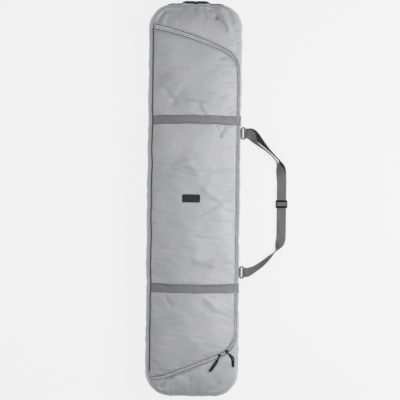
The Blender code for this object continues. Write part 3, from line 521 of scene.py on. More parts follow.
def build_side():
    start = side_grid(SIDE_ROWS, SIDE_COLUMNS)
    distance = 4 * RING_QUARTER * np.arange(SIDE_ROWS)[:, None] / SIDE_ROWS
    share = np.linspace(0.0, 1.0, SIDE_COLUMNS)[None, :]
    held = np.zeros(start.shape[:2], bool)
    held[:, [0, -1]] = True
    signed = (distance + 2 * RING_QUARTER) % (4 * RING_QUARTER) - 2 * RING_QUARTER
    for line in (BAND_HEAD_Y, BAND_FOOT_Y):
        held |= (np.abs(signed - line) < WEB_WIDTH / 2 - BAND_REST) & (share <= 1)
    for _, place, _, _ in RING_PLACES:
        held |= (np.abs(signed - place) < RING_HOLD) & (share <= 1)
    moved = inflate("side_sim", start, held, True, SIDE_AIR, SIDE_SLACK, SIDE_FRAMES)
    moved = capped(moved, start, SIDE_CAP)
    calm = side_calm(signed)
    moved = start + (moved - start) * calm[..., None]
    coarse = Skin(moved, True)
    rows, columns = FINE * SIDE_ROWS, FINE * (SIDE_COLUMNS - 1) + 1
    row = np.arange(rows)[:, None] / FINE
    column = np.linspace(0, SIDE_COLUMNS - 1, columns)[None, :]
    fine = coarse.at(row, column, np.zeros((rows, columns)))
    share = np.linspace(0.0, 1.0, columns)[None, :]
    along = 4 * RING_QUARTER * np.arange(rows)[:, None] / rows
    free = np.sin(math.pi * share) ** 0.7
    lift = 0.0012 * smooth_noise(along / 0.06 + 0 * share, share / 0.5 + 0 * along, 21) * free
    lift += 0.0008 * smooth_noise(along / 0.02, share / 0.9, 22) * np.exp(-share / 0.12) * free
    ends = np.clip((0.70 - np.abs(fine[..., 1])) / 0.04, 0, 1)
    lift -= 0.0014 * (0.2 + 0.8 * ends) * np.exp(-((share * GUSSET_DEPTH / 0.004) ** 2))
    lift *= side_calm((along + 2 * RING_QUARTER) % (4 * RING_QUARTER) - 2 * RING_QUARTER)
    fine += Skin(fine, True).normals * lift[..., None]
    return Skin(sway(fine), True)


FRONT = build_front()
SIDE = build_side()


def front_at(x, y, lift):
    """A place on the front's cloth, lifted along its normal."""
    x, y, lift = np.broadcast_arrays(np.asarray(x, float), y, lift)
    u = np.clip(x / ring_half_width(y), -1, 1)
    row = (y + HALF_LENGTH) / (2 * HALF_LENGTH) * (FRONT.points.shape[0] - 1)
    column = (u + 1) / 2 * (FRONT.points.shape[1] - 1)
    return FRONT.at(row, column, lift)


def side_at(distance, arc, lift):
    """A place on the gusset's cloth, by distance round the ring and down from the front seam."""
    distance, arc, lift = np.broadcast_arrays(np.asarray(distance, float), arc, lift)
    rows, columns = SIDE.points.shape[:2]
    share = np.interp(arc, SECTION_ARC, SHARES)
    return SIDE.at(distance / (4 * RING_QUARTER) * rows, share * (columns - 1), lift)


def skin_at(x, y, lift):
    """The front, or past its strap-side seam the gusset, for a plan unrolled over the seam."""
    x, y, lift = np.broadcast_arrays(np.asarray(x, float), y, lift)
    over = (x > HALF_WIDTH)[..., None]
    return np.where(over, side_at(y, np.maximum(x - HALF_WIDTH, 0), lift), front_at(x, y, lift))


# ---------------------------------------------------------------- materials
def srgb(value):
    return ((value / 255 + 0.055) / 1.055) ** 2.4 if value > 10 else value / 255 / 12.92


def grey(level, warm=0.0):
    """A linear colour from a level of 0 to 255; warm tips it from blue to brown."""
    return (srgb(level * (1 + warm)), srgb(level), srgb(level * (1 - warm)), 1.0)


class Shader:
    """Short calls for building one node material."""

    def __init__(self, name):
        self.material = bpy.data.materials.new(name)
        self.material.use_nodes = True
        self.tree = self.material.node_tree
        self.surface = self.tree.nodes["Principled BSDF"]

    def node(self, kind, **settings):
        made = self.tree.nodes.new(kind)
        for key, value in settings.items():
            setattr(made, key, value)
        return made

    def put(self, target, value):
        if isinstance(value, bpy.types.NodeSocket):
            self.tree.links.new(value, target)
        else:
            target.default_value = value

    def coordinates(self, uv=None):
        if uv:
            return self.node("ShaderNodeUVMap", uv_map=uv).outputs["UV"]
        return self.node("ShaderNodeTexCoord").outputs["Object"]

    def wired(self, kind, output, sockets, **settings):
        made = self.node(kind, **settings)
        for socket, value in sockets.items():
            self.put(made.inputs[socket], value)
        return made.outputs[output]

    def scaled(self, vector, scale, turn=(0, 0, 0)):
        sockets = {"Vector": vector, "Scale": scale, "Rotation": turn}
        return self.wired("ShaderNodeMapping", "Vector", sockets)

    def noise(self, vector, scale, detail=3.0, roughness=0.5):
        sockets = {"Vector": vector, "Scale": scale, "Detail": detail, "Roughness": roughness}
        return self.wired("ShaderNodeTexNoise", "Fac", sockets)

    def wave(self, vector, period, axis, distortion):
        sockets = {"Vector": vector, "Scale": math.pi / 10 / period}
        sockets |= {"Distortion": distortion, "Detail": 0.0}
        return self.wired("ShaderNodeTexWave", "Fac", sockets, bands_direction=axis)

    def math(self, operation, a, b):
        return self.wired("ShaderNodeMath", 0, {0: a, 1: b}, operation=operation)

    def spread(self, value, low, high, from_low=0.0, from_high=1.0):
        sockets = {"Value": value, "From Min": from_low, "From Max": from_high}
        sockets |= {"To Min": low, "To Max": high}
        return self.wired("ShaderNodeMapRange", "Result", sockets)

    def mix(self, factor, a, b):
        return self.wired("ShaderNodeMix", 2, {"Factor": factor, 6: a, 7: b}, data_type="RGBA")

    def bump(self, height, distance, strength=1.0):
        sockets = {"Height": height, "Distance": distance, "Strength": strength}
        self.put(self.surface.inputs["Normal"], self.wired("ShaderNodeBump", "Normal", sockets))

    def finish(self, colour, roughness, **more):
        self.put(self.surface.inputs["Base Color"], colour)
        self.put(self.surface.inputs["Roughness"], roughness)
        for key, value in more.items():
            self.put(self.surface.inputs[key.replace("_", " ")], value)
        return self.material


def shell_fabric(name, level, sheen=0.12):
    """Coated polyester in a plain weave, with a few thicker yarns and soft handling marks."""
    s = Shader(name)
    where = s.coordinates()
    warp = s.wave(where, 0.0011, "X", 0.4)
    weft = s.wave(where, 0.0011, "Y", 0.4)
    weave = s.math("MULTIPLY", warp, weft)
    slub = s.noise(s.scaled(where, (900, 60, 900)), 1.0, 2.0)
    cloud = s.noise(where, 7.0, 4.0, 0.55)
    scuff = s.noise(s.scaled(where, (14, 40, 14)), 1.0, 5.0, 0.65)
    light, dark = grey(level * 1.02, -0.001), grey(level * 0.965, -0.005)
    base = s.mix(s.spread(cloud, 0, 1, 0.35, 0.65), dark, light)
    base = s.mix(s.spread(scuff, 0, 0.2, 0.55, 0.8), base, grey(level * 1.07))
    # the weave's hollows are painted darker as painted shade
    base = s.mix(s.spread(weave, 0.16, 0.0), base, grey(level * 0.80))
    s.bump(s.math("ADD", weave, s.math("MULTIPLY", slub, 0.6)), 0.00022, 0.8)
    rough = s.spread(cloud, 0.32, 0.46, 0.3, 0.7)
    return s.finish(base, rough, Sheen_Weight=sheen, Sheen_Roughness=0.45, Specular_IOR_Level=0.5)


def webbing(name, level, uv="weave", period=0.0022, sheen=0.15, gloss=1.0):
    """Ribbed polyester webbing: chevrons across the width and crossing yarns."""
    s = Shader(name)
    where = s.coordinates(uv)
    slant = s.wave(s.scaled(where, (1, 1, 1), (0, 0, math.radians(32))), period, "X", 0.0)
    other = s.wave(s.scaled(where, (1, 1, 1), (0, 0, math.radians(-32))), period, "X", 0.0)
    ribs = s.wave(where, 0.0045, "Y", 0.0)
    side = s.math("GREATER_THAN", ribs, 0.5)
    twill = s.math(
        "ADD",
        s.math("MULTIPLY", slant, side),
        s.math("MULTIPLY", other, s.math("SUBTRACT", 1.0, side)),
    )
    fuzz = s.noise(s.scaled(where, (700, 2200, 1)), 1.0, 2.0)
    worn = s.noise(where, 26.0, 4.0, 0.6)
    # the twill's hollows are painted darker and its ridges lighter: painted shade and highlight
    base = s.mix(s.spread(twill, 0, 1), grey(level * 0.78), grey(level * 1.12))
    base = s.mix(s.spread(worn, 0, 0.35, 0.4, 0.75), base, grey(level * 1.22, 0.004))
    s.bump(s.math("ADD", twill, s.math("MULTIPLY", fuzz, 0.5)), 0.00035, 0.9)
    shine = {"Sheen_Weight": sheen, "Specular_IOR_Level": 0.3 if gloss == 1.0 else 0.85}
    return s.finish(base, s.spread(fuzz, 0.62 * gloss, 0.86 * gloss), **shine)


def thread(name, level):
    s = Shader(name)
    where = s.coordinates()
    ply = s.noise(where, 2600.0, 2.0)
    base = s.mix(ply, grey(level * 0.8), grey(level * 1.15))
    s.bump(ply, 0.00012)
    return s.finish(base, 0.55, Specular_IOR_Level=0.45)


def plastic(name, level, roughness):
    """Moulded nylon: a fine spark-eroded grain and slightly polished wear."""
    s = Shader(name)
    where = s.coordinates()
    grain = s.noise(where, 1800.0, 2.0)
    worn = s.noise(where, 90.0, 4.0, 0.6)
    base = s.mix(s.spread(worn, 0, 1, 0.5, 0.8), grey(level), grey(level * 1.3 + 3))
    s.bump(grain, 0.00005, 0.6)
    rough = s.spread(worn, roughness, roughness * 0.7, 0.4, 0.7)
    return s.finish(base, rough, Specular_IOR_Level=0.22)


def metal(name, level):
    """Black painted zinc, rubbed brighter where it is handled."""
    s = Shader(name)
    where = s.coordinates()
    worn = s.noise(where, 260.0, 5.0, 0.65)
    base = s.mix(s.spread(worn, 0, 0.5, 0.6, 0.75), grey(level), grey(60))
    s.bump(worn, 0.00006, 0.5)
    rough = s.spread(worn, 0.42, 0.28, 0.4, 0.7)
    return s.finish(base, rough, Metallic=0.15, Specular_IOR_Level=0.25)


FABRIC = shell_fabric("shell_fabric_look", 181)
LINING = shell_fabric("lining_look", 120, 0.05)
TAPE = webbing("zipper_tape_look", 206, "weave", 0.0012)
BAND = webbing("band_look", 115, sheen=0.06, gloss=0.62)
STRAP = webbing("strap_look", 107)
# the strap's own webbing in a darker copy for its return run: painted shade
STRAP_PAINTED_SHADE = webbing("strap_painted_shade_look", 66)
BLACK_WEB = webbing("black_web_look", 14, "weave", 0.0022, 0.0)
# dark piping, its darkness standing in partly for the shade in the hinge seam's groove
DARK_PIPING_AND_SHADE = webbing("dark_piping_and_shade_look", 52, "weave", 0.0014)
PALE_PIPING = webbing("pale_piping_look", 170, "weave", 0.0014)
# dark lines of painted shadow beside the zipper's folded hems
SHADOW_LINE = webbing("painted_shadow_line_look", 30, "weave", 0.0014)
THREAD = thread("thread_look", 128)
# dark thread, darkened further so that the hem stitching stands in partly for the shadow beside
# the zipper's hems
DARK_THREAD_AND_SHADE = thread("dark_thread_and_shade_look", 70)
COIL = plastic("coil_look", 172, 0.45)
PLASTIC = plastic("hardware_look", 9, 0.5)
METAL = metal("zipper_metal_look", 12)
PRINT = plastic("blank_print_look", 44, 0.5)


# ---------------------------------------------------------------- mesh helpers
def add(name, mesh, material, body):
    """A piece parented to its body, or baked in place when the body is the adjuster and strap
    pair; one that is named after a piece of the CAD replaces it.
    """
    mesh.materials.append(material)
    stands_in = name in bpy.data.objects
    obj = linked(bpy.data.objects.new(name + "_look" if stands_in else name, mesh))
    if body == ("adjuster", "strap"):
        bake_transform(obj)
    else:
        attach(obj, body)
    if stands_in:
        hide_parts(name)
    return obj


def panel(name, points, thickness, material, body, lining=None, flip=False):
    """A cloth panel on a grid of points, with its thickness on the inside."""
    rows, columns = points.shape[:2]
    faces = grid_faces(rows, columns, flip=flip)
    mesh = made_mesh(name, points, faces)
    mesh.shade_smooth()
    obj = add(name, mesh, material, body)
    if lining:
        mesh.materials.append(lining)
    solid = obj.modifiers.new("thickness", "SOLIDIFY")
    solid.thickness = thickness
    solid.offset = -1.0
    if lining:
        solid.material_offset = 1


def swept(name, rings, material, body, closed=False, smooth=True):
    """A closed profile carried along a path: rings is stations x profile points x 3."""
    rings = np.asarray(rings)
    count, sides = rings.shape[:2]
    along = run_lengths(rings.mean(1))
    girth = run_lengths(np.concatenate([rings[0], rings[0][:1]]))
    spans = count if closed else count - 1
    faces, uv = [], []
    for k in range(spans):
        after = (k + 1) % count
        for s in range(sides):
            t = (s + 1) % sides
            faces.append((k * sides + s, k * sides + t, after * sides + t, after * sides + s))
            far = along[k + 1] if k + 1 < count else along[k] + along[1]
            near, low, high = along[k], girth[s], girth[s + 1]
            uv += [(near, low), (near, high), (far, high), (far, low)]
    if not closed:
        faces.append(tuple(range(sides))[::-1])
        faces.append(tuple((count - 1) * sides + s for s in range(sides)))
        uv += [(0.0, 0.0)] * (2 * sides)
    mesh = made_mesh(name, rings, faces)
    layer = mesh.uv_layers.new(name="weave")
    layer.data.foreach_set("uv", np.array(uv, np.float32).ravel())
    bm = bmesh.new()
    bm.from_mesh(mesh)
    bmesh.ops.recalc_face_normals(bm, faces=bm.faces)
    bm.to_mesh(mesh)
    bm.free()
    if smooth:
        mesh.shade_smooth()
    return add(name, mesh, material, body)


def skin_strip(name, x, y, profile, material, body):
    """A strip across the skin: stations in plan, and a profile whose width runs in Y."""
    across, up = np.transpose(profile)
    swept(name, skin_at(x[:, None], y[:, None] + across, up), material, body)


def zip_strip(name, sign, near, past, profile, material, body):
    """A strip beside the zipper out to its hem: from near the middle, or only a thin line there.

    The profile's across runs from -1 to 1 over the strip's width."""
    lengths = np.linspace(0.0, ZIP_LENGTHS[-1], round(ZIP_LENGTHS[-1] / 0.0045) + 1)
    outer = hem_offset(lengths) + past
    inner = outer - 0.0021 if near is None else np.full(len(lengths), near)
    across, up = np.transpose(profile)
    offset = (inner + outer)[:, None] / 2 + across * (outer - inner)[:, None] / 2
    swept(name, skin_at(*zip_at(lengths[:, None], sign * offset), up), material, body)


# each seam's stitches: from one to the next, their length and the thread's radius
HEM_STITCH = (0.0044, 0.0034, 0.00050)
BAND_STITCH = (0.0046, 0.0033, 0.00045)
BOTTOM_STITCH = (0.0044, 0.0031, 0.00042)
TACK_STITCH = (0.0034, 0.0026, 0.0004)
STRAP_STITCH = (0.0032, 0.0026, 0.0004)


def stitches(name, seams, material, body, pitch, length, radius):
    """Sewn threads: seams is a list of (points, normals); each stitch is a small bent capsule."""
    verts, faces = [], []
    sides = 5
    for points, normals in seams:
        points, normals = np.asarray(points), np.asarray(normals)
        along = run_lengths(points)
        for start in np.arange(pitch / 2, along[-1] - length, pitch):
            cuts = start + length * np.array([0.0, 0.15, 0.5, 0.85, 1.0])
            here = np.stack([np.interp(cuts, along, points[:, i]) for i in range(3)], -1)
            up = unit(np.stack([np.interp(cuts, along, normals[:, i]) for i in range(3)], -1))
            side = np.cross(up, unit(here[-1] - here[0]))
            rise = np.array([-0.9, 0.2, 0.75, 0.2, -0.9]) * radius
            fat = np.array([0.35, 0.95, 1.0, 0.95, 0.35]) * radius
            base = len(verts)
            for k in range(5):
                for s in range(sides):
                    angle = 2 * math.pi * s / sides
                    offset = side[k] * math.cos(angle) + up[k] * math.sin(angle)
                    verts.append(here[k] + up[k] * rise[k] + offset * fat[k])
            faces += capsule_faces(base, 5, sides)
    mesh = made_mesh(name, verts, faces)
    mesh.shade_smooth()
    add(name, mesh, material, body)


def with_normals(points_low, points_high):
    return points_low, unit(points_high - points_low)


def skin_seam(x, y, lift):
    """Points and normals along a plan line, for stitches."""
    return with_normals(skin_at(x, y, lift), skin_at(x, y, lift + 0.001))


# ---------------------------------------------------------------- fabric panels
HEM_LENGTHS = ZIP_LENGTHS[-1] * np.array([0.0, 0.12, 0.19, 0.5, 0.81, 0.87, 1.0])
HEM_OFFSETS = np.array([0.0096, 0.0080, 0.0058, 0.0054, 0.0062, 0.0074, 0.0074])


def hem_offset(length):
    """From the zipper's middle to the folded edge of the cloth, at lengths along it."""
    return np.interp(length, HEM_LENGTHS, HEM_OFFSETS)


def hem_gap(x, y):
    """Distance in from the folded edge beside the zipper."""
    away, length = zip_near(x, y)
    return away - hem_offset(length)


EDGE_STEPS = np.array(
    [0, 0.0005, 0.0011, 0.0019, 0.0028, 0.0038, 0.0048, 0.0057, 0.0067, 0.0085, 0.0115, 0.0150]
)
CLOTH_THICK = 0.0014
BACK_THICK = 0.0012
CLOTH_STEP = 0.0045  # between neighbouring points of a finished panel


def hem(gap):
    """Height of a folded and stitched edge, by the distance in from it."""
    lip = 0.0009 * np.exp(-(((gap - 0.0026) / 0.0022) ** 2))
    roll = -0.0009 * np.exp(-((gap / 0.0008) ** 2))
    groove = -0.0006 * np.exp(-(((gap - 0.0058) / 0.0011) ** 2))
    return lip + roll + groove


def zip_branches(sign):
    """The hem's edge as its head and foot parts, each from the hinge to the strap side."""
    lengths = np.linspace(0, ZIP_LENGTHS[-1], 1600)
    x, y = zip_at(lengths, sign * hem_offset(lengths))
    middle = int(np.argmax(x))
    return (x[: middle + 1], y[: middle + 1]), (x[middle:][::-1], y[middle:][::-1])


def between(low, high, step):
    """Rows of places from low to high, which are arrays, crowded at the hemmed edges."""
    length = np.maximum(high - low, 1e-4)[:, None]
    edge = EDGE_STEPS[None, :] * np.minimum(1.0, length / 0.045)
    last = length - edge[:, ::-1]
    count = max(4, round(float(length.max()) / step))
    t = np.linspace(0, 1, count + 1)[1:-1][None, :]
    inner = edge[:, -1:] + (last[:, :1] - edge[:, -1:]) * t
    return low[:, None] + np.concatenate([edge, inner, last], 1)


def build_flap():
    head, foot = zip_branches(-1)
    left, right = -HALF_WIDTH + 0.0014, float(head[0].max()) - 1e-5
    x = np.concatenate([np.linspace(left, right - 0.018, 76), right - EDGE_STEPS[::-1]])
    y = between(np.interp(x, *foot), np.interp(x, *head), CLOTH_STEP)
    u = ((x - left) / (right - left))[:, None]
    x = x[:, None] + 1.4 * (HALF_WIDTH - ring_half_width(y)) * (1 - u) ** 6
    points = skin_at(x, y, CLOTH_THICK + hem(hem_gap(x, y)))
    panel("front_flap", points, CLOTH_THICK, FABRIC, "flap", LINING, flip=True)


def build_yoke(name, sign):
    curve = zip_branches(1)[0 if sign > 0 else 1]
    limit = HALF_WIDTH - 0.0006
    x = np.concatenate([np.linspace(-limit, limit - 0.012, 84), limit - EDGE_STEPS[9::-1]])
    past = np.clip(np.abs(x) - (HALF_WIDTH - CORNER_RADIUS), 0, CORNER_RADIUS)
    ring = sign * (HALF_LENGTH - CORNER_RADIUS + np.sqrt(CORNER_RADIUS**2 - past**2))
    edge = np.interp(x, *curve)
    if sign > 0:
        y = between(edge, np.maximum(ring, edge + 2e-4), 0.004)
    else:
        y = between(np.minimum(ring, edge - 2e-4), edge, 0.004)
    x = np.broadcast_to(x[:, None], y.shape)
    points = front_at(x, y, CLOTH_THICK + hem(hem_gap(x, y)))
    panel(name, points, CLOTH_THICK, FABRIC, "shell", LINING, flip=True)


def zip_outer_arc(y):
    """How far down the strap side the zipper's outer hem lies; 0 where it is on the front."""
    lengths = np.linspace(0, ZIP_LENGTHS[-1], 1600)
    x, line = zip_at(lengths, hem_offset(lengths))
    order = np.argsort(line)
    return np.maximum(0.0, np.interp(y, line[order], x[order]) - HALF_WIDTH)


def build_gusset(name, start, end, beside_zip):
    distance = np.linspace(start, end, round((end - start) / CLOTH_STEP) + 1)
    low = zip_outer_arc(distance) if beside_zip else np.zeros(len(distance))
    arc = between(low, np.full(len(distance), GUSSET_DEPTH), CLOTH_STEP)
    across = np.broadcast_to(distance[:, None], arc.shape)
    lift = np.full(arc.shape, CLOTH_THICK * 0.4)
    if beside_zip:
        lift += hem(arc - low[:, None]) * np.clip(low[:, None] / 0.004, 0, 1)
    # the sewn ends of each panel dip into their seams
    for seam in (start, end):
        lift -= 0.0009 * np.exp(-(((across - seam) / 0.0018) ** 2))
    points = side_at(across, arc, lift)
    panel(name, points, CLOTH_THICK, FABRIC, "shell", LINING)


def build_back():
    limit = HALF_LENGTH + WALL - 0.0008
    y = np.linspace(-limit, limit, 300)[:, None]
    past = np.clip(np.abs(y) - (HALF_LENGTH - CORNER_RADIUS), 0, CORNER_RADIUS)
    half = HALF_WIDTH + WALL - 0.0008 - CORNER_RADIUS
    half = half + np.sqrt(np.maximum(CORNER_RADIUS**2 - past**2, 1e-9))
    x = np.linspace(-1, 1, 70)[None, :] * half
    y = y + 0 * x
    rumple = 0.5 + 0.5 * smooth_noise(x / 0.07, y / 0.11, 31)
    inside = np.stack([x, y, WALL + 0.0006 * rumple], -1)
    panel("back_lining", inside, BACK_THICK, LINING, "shell")
    outside = np.stack([x, y, 0.0009 * rumple], -1)
    panel("back_panel", outside, BACK_THICK, FABRIC, "shell", flip=True)


def strip_profile(half_width, thick, lift, count):
    """A strip's section: flat with rounded edges and enough points to bend over the cloth."""
    r = thick * 0.5
    inner = np.linspace(-(half_width - r), half_width - r, count)
    top = [(a, lift + thick) for a in inner]
    right = [(half_width - r + r * math.cos(t), lift + r + r * math.sin(t)) for t in (0.7, -0.7)]
    bottom = [(a, lift) for a in inner[::-1]]
    left = [(-(half_width - r) - r * math.cos(t), lift + r - r * math.sin(t)) for t in (0.7, -0.7)]
    return top + right + bottom + left


def build_zipper():
    for half, sign, body in (("body", 1, "shell"), ("flap", -1, "flap")):
        # the tape runs from under the coil to under the hem
        profile = [(a / 0.0030, u) for a, u in strip_profile(0.0030, 0.0007, 0.0010, 4)]
        zip_strip(f"zipper_tape_{half}", sign, 0.0014, 0.0006, profile, TAPE, body)
        # a thin dark strip at each hem's edge: painted shadow
        edge = [(a / 0.0010, u) for a, u in strip_profile(0.0010, 0.0008, 0.0014, 2)]
        zip_strip(f"zipper_seam_{half}", sign, None, 0.0003, edge, SHADOW_LINE, body)
        build_teeth(half, sign, body)


def build_teeth(half, sign, body):
    """The coil: loops of nylon that hook past the middle, each in the gap between two opposite."""
    pitch = 0.0021
    low, high = ZIP_MARGIN_HEAD + 0.006, ZIP_LENGTHS[-1] - ZIP_MARGIN_FOOT - 0.006
    lengths = np.arange(low, high, pitch) + (pitch / 2 if sign > 0 else 0.0)
    reach = np.array([0.0034, 0.0026, 0.0008, -0.0007])
    rise = np.array([0.0009, 0.0016, 0.0017, 0.0009])
    fat = np.array([0.00042, 0.00046, 0.00050, 0.00052])
    sides = 5
    x, y = zip_at(lengths[:, None], sign * reach)
    core = skin_at(x, y, rise)
    ahead = unit(skin_at(*zip_at(lengths[:, None] + 0.0005, sign * reach), rise) - core)
    up = np.cross(ahead, unit(np.gradient(core, axis=1)))
    angles = 2 * math.pi * np.arange(sides) / sides
    ring = (
        core[:, :, None, :]
        + ahead[:, :, None, :] * (np.cos(angles)[None, None, :, None] * fat[None, :, None, None])
        + up[:, :, None, :] * (np.sin(angles)[None, None, :, None] * fat[None, :, None, None])
    )
    faces = []
    for k in range(len(lengths)):
        faces += capsule_faces(k * len(reach) * sides, len(reach), sides)
    name = f"zipper_coil_{half}"
    mesh = made_mesh(name, ring, faces)
    mesh.shade_smooth()
    add(name, mesh, COIL, body)


def tube_rings(points, radius, sides, closed=False):
    """Round sections along a path, with a frame that doesn't twist; radius may vary along it."""
    points = np.asarray(points, float)
    radius = np.broadcast_to(radius, len(points))
    if closed:
        ahead = np.roll(points, -1, 0) - np.roll(points, 1, 0)
    else:
        ahead = np.gradient(points, axis=0)
    ahead = unit(ahead)
    pick = np.eye(3)[np.argmin(np.abs(ahead[0]))]
    side = np.cross(ahead[0], pick)
    rings = []
    for place, forward, r in zip(points, ahead, radius):
        side = unit(side - forward * (side @ forward))
        up = np.cross(forward, side)
        turn = 2 * math.pi * np.arange(sides) / sides
        rings.append(place + r * (np.cos(turn)[:, None] * side + np.sin(turn)[:, None] * up))
    return np.array(rings)


def build_piping():
    side = HALF_LENGTH - CORNER_RADIUS
    half_turn = 2 * RING_QUARTER
    cross = [float(np.interp(HALF_WIDTH - 0.004, *zip_branches(1)[k])) for k in (0, 1)]
    parts = (
        ("hinge_piping", half_turn - side, half_turn + side),
        ("head_piping", cross[0] + 0.010, half_turn - side),
        ("foot_piping", half_turn + side, 2 * half_turn + cross[1] - 0.010),
    )
    for name, start, end in parts:
        count = round((end - start) / 0.005)
        distance = np.linspace(start, end, count + 1)
        places = side_at(distance, 0.0002, 0.0006)
        hinge = name == "hinge_piping"
        # the hinge piping is thicker, lifted and dark, standing in partly for the shade in the
        # seam's groove
        places[:, 2] += 0.0012 if hinge else -0.0002
        rings = tube_rings(places, 0.0021 if hinge else 0.0012, 8)
        swept(name, rings, DARK_PIPING_AND_SHADE if hinge else PALE_PIPING, "shell")


SEAM_MARGIN = 0.0022  # from a band's edge to its stitches
FRONT_LIFT = CLOTH_THICK - 0.0002  # where the bands and threads rest on the front's cloth
SIDE_LIFT = CLOTH_THICK * 0.4  # and on the gusset's


def build_bands():
    front_seams, side_seams = [], []
    for end, y0 in (("upper", BAND_HEAD_Y), ("lower", BAND_FOOT_Y)):
        x = np.linspace(-HALF_WIDTH + 0.003, HALF_WIDTH + 0.0006, 92)
        y = band_line(y0, x) + 0.0006 * np.sin(x * 61 + y0 * 9)
        profile = strip_profile(WEB_WIDTH / 2, WEB_THICK, FRONT_LIFT, 9)
        skin_strip(f"front_band_{end}", x, y, profile, BAND, "flap")
        start = float(zip_outer_arc(np.array([y0]))[0]) + 0.0012
        arc = HALF_WIDTH + np.linspace(start, GUSSET_DEPTH - 0.004, 34)
        profile = strip_profile(WEB_WIDTH / 2, WEB_THICK, SIDE_LIFT, 9)
        skin_strip(f"side_band_{end}", arc, np.full(34, y0), profile, BAND, "shell")
        for edge in (-1, 1):
            offset = edge * (WEB_WIDTH / 2 - SEAM_MARGIN)
            line = skin_seam(x[2:-2], y[2:-2] + offset, FRONT_LIFT + WEB_THICK)
            front_seams.append(line)
            line = skin_seam(arc[1:-1], np.full(32, y0 + offset), SIDE_LIFT + WEB_THICK)
            side_seams.append(line)
    stitches("band_stitching_front", front_seams, DARK_THREAD_AND_SHADE, "flap", *BAND_STITCH)
    stitches("band_stitching_side", side_seams, DARK_THREAD_AND_SHADE, "shell", *BAND_STITCH)


def build_hem_stitching():
    lengths = np.arange(ZIP_MARGIN_HEAD + 0.006, ZIP_LENGTHS[-1] - ZIP_MARGIN_FOOT - 0.006, 0.004)
    for half, sign, body in (("body", 1, "shell"), ("flap", -1, "flap")):
        x, y = zip_at(lengths, sign * (hem_offset(lengths) + 0.0058))
        seam = skin_seam(x, y, FRONT_LIFT)
        # dark hem stitches, partly painted shadow beside the hems
        stitches(f"hem_stitching_{half}", [seam], DARK_THREAD_AND_SHADE, body, *HEM_STITCH)
    side = np.arange(0.0, 4 * RING_QUARTER, 0.004)
    depth = GUSSET_DEPTH - 0.0062
    seam = with_normals(side_at(side, depth, 0.0008), side_at(side, depth, 0.0018))
    stitches("bottom_stitching", [seam], THREAD, "shell", *BOTTOM_STITCH)


def build_hem_edges():
    """Dark lines of painted shadow along the cloth's folded edges on both sides of the zipper; the
    shell's shows at the ends.
    """
    lengths = np.arange(ZIP_MARGIN_HEAD + 0.004, ZIP_LENGTHS[-1] - ZIP_MARGIN_FOOT - 0.004, 0.003)
    side = np.abs(zip_at(lengths)[1]) < 0.56
    first, last = np.flatnonzero(side)[[0, -1]]
    runs = (
        ("hem_edge_head", 1, lengths[:first], "shell"),
        ("hem_edge_foot", 1, lengths[last:], "shell"),
        ("hem_edge_flap", -1, lengths, "flap"),
    )
    for name, sign, run, body in runs:
        x, y = zip_at(run, sign * (hem_offset(run) + 0.0006))
        swept(name, tube_rings(skin_at(x, y, CLOTH_THICK * 0.75), 0.0009, 8), SHADOW_LINE, body)


def build_bottom_binding():
    """The bound seam between the gussets and the back."""
    distance = np.linspace(0.0, 4 * RING_QUARTER, 700)[:-1]
    places = side_at(distance, GUSSET_DEPTH - 0.0004, 0.0008)
    places[:, 2] = 0.0030
    rings = tube_rings(places, 0.0022, 8, closed=True)
    swept("bottom_binding", rings, DARK_PIPING_AND_SHADE, "shell", closed=True)


# ---------------------------------------------------------------- webbing and hardware
def strip_rings(places, across, profile):
    """Sections of a flat strip: places and width directions, with a profile of (across, up)."""
    places, across = np.asarray(places, float), np.asarray(across, float)
    across = unit(across)
    up = unit(np.cross(across, unit(np.gradient(places, axis=0))))
    a, u = np.transpose(profile)[:, None, :, None]
    return places[:, None] + across[:, None] * a + up[:, None] * u


def smooth_route(points, count):
    """Catmull-Rom through the points, then evenly spaced."""
    rows = np.asarray(points, float)
    t = np.linspace(0, len(rows) - 1, 40 * len(rows))
    base = np.minimum(np.floor(t).astype(int), len(rows) - 2)
    total = 0.0
    for k, weight in enumerate(cubic(t - base)):
        total = total + rows[np.clip(base + k - 1, 0, len(rows) - 1)] * weight[:, None]
    along = run_lengths(total[:, :3])
    even = np.linspace(0, along[-1], count)
    return np.stack([np.interp(even, along, total[:, i]) for i in range(rows.shape[1])], -1)


STRAP_Z = 0.0073
STRAP_ROUTE = [
    (0.2115, -0.2930, 0.0618, 4),
    (0.2180, -0.2930, 0.0590, 8),
    (0.2290, -0.2905, 0.0500, 30),
    (0.2545, -0.2780, 0.0330, 52),
    (0.2825, -0.2590, 0.0210, 60),
    (0.3110, -0.2330, 0.0205, 72),
    (0.3370, -0.2060, 0.0205, 88),
    (0.3500, -0.1830, 0.0150, 42),
    (0.3580, -0.1620, 0.0085, 8),
    (STRAP_X, -0.1400, STRAP_Z, 0),
    (STRAP_X, -0.0700, STRAP_Z, 0),
    (STRAP_X, 0.0000, STRAP_Z, 0),
    (STRAP_X, 0.0650, STRAP_Z, 0),
    (0.3580, 0.0950, 0.0085, 8),
    (0.3520, 0.1260, 0.0152, 38),
    (0.3405, 0.1560, 0.0215, 84),
    (0.3230, 0.1800, 0.0220, 88),
    (0.2960, 0.2040, 0.0240, 86),
    (0.2690, 0.2230, 0.0330, 80),
    (0.2490, 0.2400, 0.0460, 66),
    (0.2390, 0.2540, 0.0585, 40),
    (0.2320, 0.2640, 0.0630, 14),
    (0.2225, 0.2700, 0.0632, 0),
    (0.2120, 0.2730, 0.0630, 0),
]
